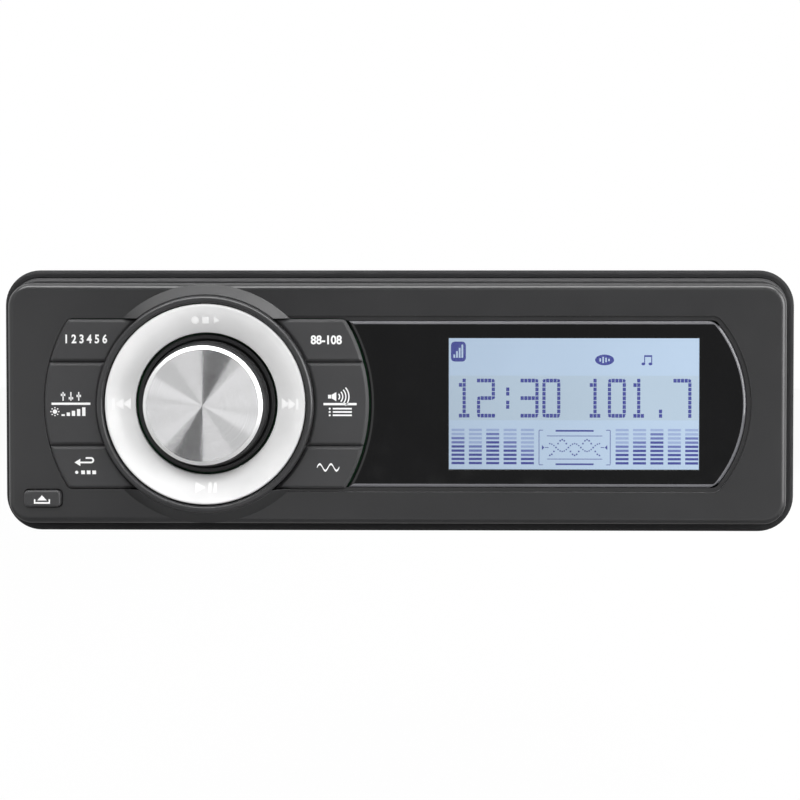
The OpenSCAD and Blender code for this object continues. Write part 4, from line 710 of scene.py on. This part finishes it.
def level_bars(tone):
    """The stacked bars of one tone at both sides of the drawing."""
    starts = {0.63: (6, 4, 7, 5, 3), 40.3: (4, 5, 7, 4, 6)}
    column_pitch, width, bars = 4.2, 3.14, 9
    bottom, row_pitch, thickness = 30.3, 1.005, 0.58
    shapes = []
    for start, levels in starts.items():
        for column, level in enumerate(levels):
            for row in range(bars):
                shade = "dark" if row < level - 1 else "middle" if row <= level else "faint"
                if shade == tone:
                    x = start + column * column_pitch + width / 2
                    shapes.append(bar(x, bottom - row * row_pitch, width, thickness))
    return shapes


def centre_drawing():
    """Brackets, level lines, two dotted waves and two arrows between the bars."""
    left, right, top, bottom = 21.8, 39.0, 22.3, 30.7
    middle_x = (left + right) / 2
    middle_y = (top + bottom) / 2
    thin, thick, arm = 0.16, 0.42, 1.0
    line_w, line_inset = 13.4, 1.4
    thick_w, thick_inset = 9.2, 0.15
    wave_h, wave_pitch, wave_steps = 1.9, 0.5, 12
    large_dot, small_dot, small_from = 0.36, 0.3, 0.5
    head_x, head_w, head_h = 7.6, 0.6, 1.2
    shaft_x, shaft_w = 6.75, 0.9
    shapes = []
    for x, inward in ((left, 1), (right, -1)):
        for y in (top, bottom):
            shapes.append(bar(x + inward * arm / 2, y, arm, thin))
        shapes.append(bar(x, middle_y, thin, bottom - top - thin))
    for y in (top + line_inset, bottom - line_inset):
        shapes.append(bar(middle_x, y, line_w, thin))
    for y in (top + thick_inset, bottom - thick_inset):
        shapes.append(bar(middle_x, y, thick_w, thick))
    for k in range(-wave_steps, wave_steps + 1):
        x = middle_x + wave_pitch * k
        height = wave_h * math.cos(2 * math.pi * k / wave_steps)
        shapes.append(bar(x, middle_y + height, large_dot, large_dot))
        if abs(height) > small_from:
            shapes.append(bar(x, middle_y - height / 2, small_dot, small_dot))
    for way in (-1, 1):
        shapes.append(arrow(middle_x - way * head_x, middle_y, head_w, head_h, way))
        shapes.append(bar(middle_x - way * shaft_x, middle_y, shaft_w, thin))
    return shapes


def music_note(x, y):
    """Two joined notes about a middle."""
    stems = [x - 0.85, x + 0.85]
    return ([bar(x, y - 1.05, 1.9, 0.42)] + [bar(stem, y - 0.1, 0.22, 1.6) for stem in stems]
            + [oval(stem - 0.3, y + 0.85, 0.95, 0.7, 14) for stem in stems])


def display_drawing():
    """Everything that the display shows."""
    badge_x, badge_y = 2.3, 3.3
    oval_x, oval_y = 37.6, 5.3
    note_x, note_y = 48.1, 5.4
    row_y, row_h, row_margin = 14.5, 10.8, 0.2
    view_w = VIEW_W / MM
    dark = dot_row("12:30 101.7") + centre_drawing() + level_bars("dark")
    dark += [soft_box(badge_x, badge_y, 3.6, 4.85, 0.9), oval(oval_x, oval_y, 4.6, 2.6)]
    dark += music_note(note_x, note_y)
    light = growing_bars(badge_x - 1.0, badge_y + 1.5, 4, 0.65, 0.42, -0.8)
    light += [bar(oval_x - 1.05 + 0.7 * k, oval_y, 0.36, h) for k, h in enumerate((0.8, 1.5, 1.1, 0.6))]
    row = bar(view_w / 2, row_y, view_w - 2 * row_margin, row_h)
    display_layer("display_row", "tint", [row], -LAYER_T / 2)
    display_layer("display_dark", "dark", dark)
    display_layer("display_middle", "middle", level_bars("middle"))
    display_layer("display_faint", "faint", level_bars("faint"))
    display_layer("display_icons", "light", light, LAYER_T)


# Keys and the marks printed on them and on the release button

def soft_key(body):
    """A key's rubber top, swollen a little into the groove about it; the body and its solid share a name."""
    mesh = welded_copy(body)
    mesh.normal_update()
    top_from = front(body) - KEY_TOP_H
    least_side = 0.05
    for vert in mesh.verts:
        sideways = Vector((vert.normal.x, 0, vert.normal.z))
        if -vert.co.y > top_from and sideways.length > least_side:
            sideways.normalize()
            vert.co += sideways * (KEY_SWELL + KEY_SIDE_SWELL * abs(sideways.x))
    made = piece(body + "_top", mesh, FINISHES["key_rubber"], body)
    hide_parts(body)


def key_print(name, body, shapes, across, up):
    """White marks on the front of a key, whose body and solid share a name, or of the release button."""
    node = "release_button" if body == "release" else body
    piece(name, plates(moved(shapes, across, up), front(node)), LEGEND, body)


def numerals(name, body, text, across, up, width, height):
    """Printed numbers of a given width and height about a place on a key."""
    data = bpy.data.curves.new(name, "FONT")
    data.body = text
    data.offset = 0.03
    data.extrude = 0.5
    data.resolution_u = 6
    lettering = placed(name, data)
    flat = bpy.data.meshes.new_from_object(lettering.evaluated_get(bpy.context.evaluated_depsgraph_get()))
    mesh = bmesh.new()
    mesh.from_mesh(flat)
    bpy.data.meshes.remove(flat)
    bpy.data.objects.remove(lettering)
    bmesh.ops.remove_doubles(mesh, verts=mesh.verts, dist=1e-5)
    low = [min(v.co[k] for v in mesh.verts) for k in range(3)]
    high = [max(v.co[k] for v in mesh.verts) for k in range(3)]
    for vert in mesh.verts:
        share = [(vert.co[k] - low[k]) / (high[k] - low[k]) for k in range(3)]
        vert.co = point((across + (share[0] - 0.5) * width) * MM, (up + (share[1] - 0.5) * height) * MM,
                        front(body) + share[2] * PRINT_T)
    piece(name, mesh, LEGEND, body)


def two_rows(upper, lower, line_w):
    """A mark of two rows with a line between them."""
    row_up, row_down, line_t = 1.8, -1.9, 0.55
    return moved(upper, 0, row_up, 1) + [bar(0, 0, line_w, line_t)] + moved(lower, 0, row_down, 1)


def tone_mark():
    """Three sliders over a sun and growing bars."""
    handles = {-1.9: 0.35, 0: -0.45, 1.9: 0.1}
    sliders = [bar(x, 0, 0.28, 2.1) for x in handles] + [bar(x, y, 1.1, 0.55) for x, y in handles.items()]
    sun_x, sun_w = -3.9, 1.1
    ray_r, ray_w = 0.95, 0.34
    turns = [math.pi * k / 4 for k in range(8)]
    rays = [oval(sun_x + ray_r * math.cos(t), ray_r * math.sin(t), ray_w, ray_w, 10) for t in turns]
    sun = [oval(sun_x, 0, sun_w, sun_w, 18)] + rays
    return two_rows(sliders, sun + growing_bars(-1.9, -1.05, 5, 1.25, 0.8, 0.42), 9.4)


def sound_mark():
    """A loudspeaker with waves over a list of three rows."""
    speaker = [bar(-2.5, 0, 0.8, 0.9), [(-2.0, -0.45), (-0.9, -1.1), (-0.9, 1.1), (-2.0, 0.45)]]
    waves = [arc_band(-1.1, 0, 1.0 + 0.75 * k, 0.3, -42, 42) for k in range(4)]
    heights = [0.8 * k for k in (-1, 0, 1)]
    rows = [bar(0.55, y, 4.6, 0.4) for y in heights] + [oval(-2.5, y, 0.5, 0.5, 12) for y in heights]
    return two_rows(speaker + waves, rows, 8)


def back_mark():
    """An arrow that turns back, over a dot and three squares."""
    line_y, line_t, turn_r = -0.2, 0.42, 0.54
    bent = [arrow(-1.9, line_y, 1.4, 1.8, -1), bar(0.1, line_y, 2.6, line_t),
            arc_band(1.4, line_y + turn_r, turn_r, line_t, -90, 90),
            bar(0.75, line_y + 2 * turn_r, 1.3, line_t)]
    row_y = -2.6
    squares = [bar(-0.55 + 1.35 * k, row_y, 0.9, 0.9) for k in range(3)]
    return bent + [oval(-2.1, row_y, 0.8, 0.8, 16)] + squares


def wave_mark():
    """A line of two waves."""
    half_w, half_t, height = 2.7, 0.24, 0.8
    steps = 36
    turns = [4 * math.pi * k / steps for k in range(steps + 1)]
    crest = [(half_w * (t / (2 * math.pi) - 1), height * math.sin(t)) for t in turns]
    return [[(x, y + half_t) for x, y in crest] + [(x, y - half_t) for x, y in crest[::-1]]]


def release_mark():
    """A lid that lifts off a tray."""
    outer, inner = 1.95, 1.6
    rim, floor, base = 0.5, -0.2, -0.6
    left = [(-inner, floor), (-inner, rim), (-outer, rim), (-outer, base)]
    tray = left + [(-x, y) for x, y in left[::-1]]
    return [tray, [(-1.15, 0.2), (1.15, 0.2), (0, 1.45)]]


def key_marks():
    """The marks of the six keys and the release button, with their places in millimetres."""
    button_y = centre("release_button").z / MM - 0.6
    numerals("marks_presets", "key_upper_left", "1 2 3 4 5 6", -74.8, 15.7, 10.1, 2.2)
    numerals("marks_band", "key_upper_right", "88-108", -16.8, 15.5, 7.5, 2.2)
    key_print("marks_tone", "key_middle_left", tone_mark(), -78.6, 0)
    key_print("marks_sound", "key_middle_right", sound_mark(), -13.5, 0)
    key_print("marks_back", "key_lower_left", back_mark(), -75.2, -14)
    key_print("marks_bass", "key_lower_right", wave_mark(), -16.4, -15.3)
    key_print("marks_release", "release", release_mark(), BUTTON_X / MM, button_y)


# Latch spring

def latch_zigzag():
    """The latch's zigzag spring, as a piece with a mesh of its own."""
    made = piece("latch_zigzag", welded_copy("latch_spring"), FINISHES["steel_parts"], "face")
    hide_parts("latch_spring")
    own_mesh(made)


# Foam pad

def foam_pad():
    """The locker's foam: a soft slab with a crowned top, drawn-in sides and pressed channels."""
    low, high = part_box("locker_pad")
    middle = (low + high) / 2
    span = high - low
    columns, rows = 150, 70
    channels = 6
    edge_r = 1.2 * MM
    channel_r = 1.1 * MM
    channel_d = 0.9 * MM
    draw_in = 0.6 * MM
    crown = 0.35 * MM
    mesh = bmesh.new()
    top = []
    base = []
    for j in range(rows + 1):
        for i in range(columns + 1):
            u = 2 * i / columns - 1
            v = 2 * j / rows - 1
            x = u * (span.x / 2 - draw_in * (1 - v * v))
            y = v * (span.y / 2 - draw_in * (1 - u * u))
            inset = min((1 - abs(u)) * span.x, (1 - abs(v)) * span.y) / 2
            share = min(inset / edge_r, 1)
            rise = span.z - crown * (u * u + v * v) / 2 - edge_r * (1 - math.sqrt(1 - (1 - share) ** 2))
            for k in range(channels):
                from_channel = x - span.x * ((k + 1) / (channels + 1) - 0.5)
                rise -= channel_d * math.exp(-(from_channel / channel_r) ** 2)
            top.append(mesh.verts.new((middle.x + x, middle.y + y, low.z + rise)))
            base.append(mesh.verts.new((middle.x + x, middle.y + y, low.z)))
    wide = columns + 1
    for j in range(rows):
        for i in range(columns):
            k = j * wide + i
            mesh.faces.new((top[k], top[k + 1], top[k + wide + 1], top[k + wide]))
            mesh.faces.new((base[k], base[k + wide], base[k + wide + 1], base[k + 1]))
    rim = (list(range(columns)) + [j * wide + columns for j in range(rows)]
           + [rows * wide + i for i in range(columns, 0, -1)] + [j * wide for j in range(rows, 0, -1)])
    for one, two in zip(rim, rim[1:] + rim[:1]):
        mesh.faces.new((base[one], base[two], top[two], top[one]))
    made = piece("foam_pad", mesh, FINISHES["foam"], "chassis")
    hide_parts("locker_pad")


dress(frame["nodes"])
rocker_ring()
ring_marks()
knob_disc()
window_share("window_border", FINISHES["window"], False)
window_share("window_pane", CLEAR, True)
display_drawing()
for key in KEYS:
    soft_key(key)
key_marks()
latch_zigzag()
foam_pad()

# Stage: floor, cards, lamps, sky and camera
AMBIENT = 0.3
FLOOR_GLOW = 0.94
FLOOR_Z = -0.15
FLOOR_FRONT = -0.12
FLOOR_HALF_W = 2.0
FLOOR_BACK = 3.0


def seen_plainly(tree):
    """One where a ray comes from the camera, off gloss or through glass, and zero elsewhere."""
    path = add(tree, "LightPath").outputs
    on_gloss = maths(tree, "MAXIMUM", path["Is Camera Ray"], path["Is Glossy Ray"])
    return maths(tree, "MAXIMUM", on_gloss, path["Is Transmission Ray"])


def white_world(ambient):
    """Plain white to the camera, in metal and through glass, and an even dim light elsewhere."""
    world = bpy.data.worlds.new("studio")
    world.use_nodes = True
    tree = world.node_tree
    tree.nodes.clear()
    dim = add(tree, "Background", {"Color": (1, 1, 1, 1), "Strength": ambient})
    white = add(tree, "Background", {"Color": (1, 1, 1, 1), "Strength": 1.0})
    mixed = add(tree, "MixShader", {0: seen_plainly(tree), 1: dim.outputs[0], 2: white.outputs[0]})
    output = add(tree, "OutputWorld", {"Surface": mixed.outputs[0]})
    output.is_active_output = True
    bpy.context.scene.world = world


def level_sheet(height, x, y, w, d):
    """Corners of a level sheet about a middle."""
    return [(px, py, height) for px, py in bar(x, y, w, d)]


def upright_sheet(start, end, low, high):
    """Corners of an upright sheet from one place on the floor plan to another, between two heights."""
    return [(*start, low), (*end, low), (*end, high), (*start, high)]


def stage_sheet(name, corners, material):
    """A flat sheet that isn't part of the object."""
    mesh = bpy.data.meshes.new(name)
    mesh.from_pydata([tuple(c) for c in corners], [], [tuple(range(len(corners)))])
    mesh.materials.append(material)
    sheet = placed(name, mesh)
    return sheet


def pale_floor():
    """A pale floor: nearly white to the camera, with a faint shadow."""
    made, tree, shader = new_material("floor", (0.85, 0.85, 0.85), 0.8)
    glow = add(tree, "Emission", {"Color": (1, 1, 1, 1), "Strength": 1.0})
    share = maths(tree, "MULTIPLY", seen_plainly(tree), FLOOR_GLOW)
    mixed = add(tree, "MixShader", {0: share, 1: shader.outputs[0], 2: glow.outputs[0]})
    tree.links.new(mixed.outputs[0], tree.nodes["Material Output"].inputs["Surface"])
    depth = FLOOR_BACK - FLOOR_FRONT
    stage_sheet("floor", level_sheet(FLOOR_Z, 0, FLOOR_FRONT + depth / 2, 2 * FLOOR_HALF_W, depth), made)


def gloss_card(name, corners, level):
    """A card that only gloss shows: dark ones shade it and bright ones light its edges."""
    made = bpy.data.materials.new(name)
    made.use_nodes = True
    tree = made.node_tree
    tree.nodes.clear()
    glow = add(tree, "Emission", {"Color": (1, 1, 1, 1), "Strength": level})
    add(tree, "OutputMaterial", {"Surface": glow.outputs[0]})
    made.cycles.emission_sampling = "NONE"
    card = stage_sheet(name, corners, made)
    card.visible_camera = False
    card.visible_diffuse = False
    card.visible_transmission = False
    card.visible_shadow = False


def fan(middle, start, end, reach):
    """Corners of a wedge in an upright plane, between two angles in degrees clockwise from the top."""
    steps = 4
    turns = [math.radians(start + (end - start) * k / steps) for k in range(steps + 1)]
    return [middle] + [middle + reach * Vector((math.sin(t), 0, math.cos(t))) for t in turns]


def lamp(name, place, width, height, power):
    """A soft rectangular lamp aimed at the origin, which gloss and glass don't show."""
    data = bpy.data.lights.new(name, "AREA")
    data.shape = "RECTANGLE"
    data.size = width
    data.size_y = height
    data.energy = power
    made = placed(name, data)
    made.location = place
    made.rotation_mode = "QUATERNION"
    made.rotation_quaternion = (-Vector(place)).to_track_quat("-Z", "Y")
    made.visible_glossy = False
    made.visible_transmission = False


CAMERA_PLACE = point(24.8 * MM, 33.4 * MM, 596.6 * MM)
CAMERA_LENS = 108.2
CAMERA_LEFT = math.radians(1.2)
CAMERA_DOWN = math.radians(2.0)
CAMERA_SHIFT = (-0.0608, -0.0632)


def photo_camera():
    """The camera at the photograph's angle."""
    data = bpy.data.cameras.new("camera")
    data.lens = CAMERA_LENS
    data.sensor_width = 36
    data.clip_start = 0.01
    data.clip_end = 20
    data.shift_x, data.shift_y = CAMERA_SHIFT
    made = placed("camera", data)
    made.location = CAMERA_PLACE
    made.rotation_euler = (math.pi / 2 - CAMERA_DOWN, 0, CAMERA_LEFT)
    bpy.context.scene.camera = made


# Wedges that fan the light on the knob's spun face, about the place where it mirrors the camera:
# their two angles and how bright they are
FAN_Y = -0.2
MIRROR = Vector((-0.0675, FAN_Y, -0.0102))
FAN_REACH = 0.2
FANS = {
    "fan_upper_dark": (-1, 31, 0.04),
    "fan_lower_dark": (182, 224, 0.16),
    "fan_left_grey": (300, 359, 0.5),
    "fan_right_grey": (120, 148, 0.8),
}
# Other cards that only gloss shows: their corners and how bright they are
CARDS = {
    "window_card": (upright_sheet((-0.105, -0.96), (0.255, -0.96), -0.125, 0.125), 0.2),
    "top_box": (level_sheet(1.3, 0, -0.55, 2.4, 0.58), 10.5),
    "right_box": (upright_sheet((0.75, -0.75), (1.1, -0.15), -0.12, 0.6), 8),
    "left_box": (upright_sheet((-1.0, -0.8), (-1.0, 0.0), -0.5, 0.6), 0.8),
    "under_card": (level_sheet(-0.1, 0, 0.075, 0.8, 0.35), 0.3),
}
# Lamps: their place, width, height and power in watts
LAMPS = {
    "front_fill": ((0.0, -1.35, 0.75), 0.9, 0.6, 16.5),
    "back_fill": ((0.4, 1.4, 0.5), 1.4, 0.9, 10),
    "top_fill": ((0.0, 0.1, 0.9), 1.4, 0.4, 5),
    "right_fill": ((0.9, -0.15, 0.05), 0.3, 0.8, 8),
    "left_fill": ((-0.9, -0.15, 0.05), 0.3, 0.8, 2),
}

white_world(AMBIENT)
pale_floor()
for fan_name, (fan_start, fan_end, fan_level) in FANS.items():
    gloss_card(fan_name, fan(MIRROR, fan_start, fan_end, FAN_REACH), fan_level)
for card_name, (card_corners, card_level) in CARDS.items():
    gloss_card(card_name, card_corners, card_level)
for lamp_name, lamp_values in LAMPS.items():
    lamp(lamp_name, *lamp_values)
photo_camera()

scene = bpy.context.scene
scene.view_settings.view_transform = "Standard"
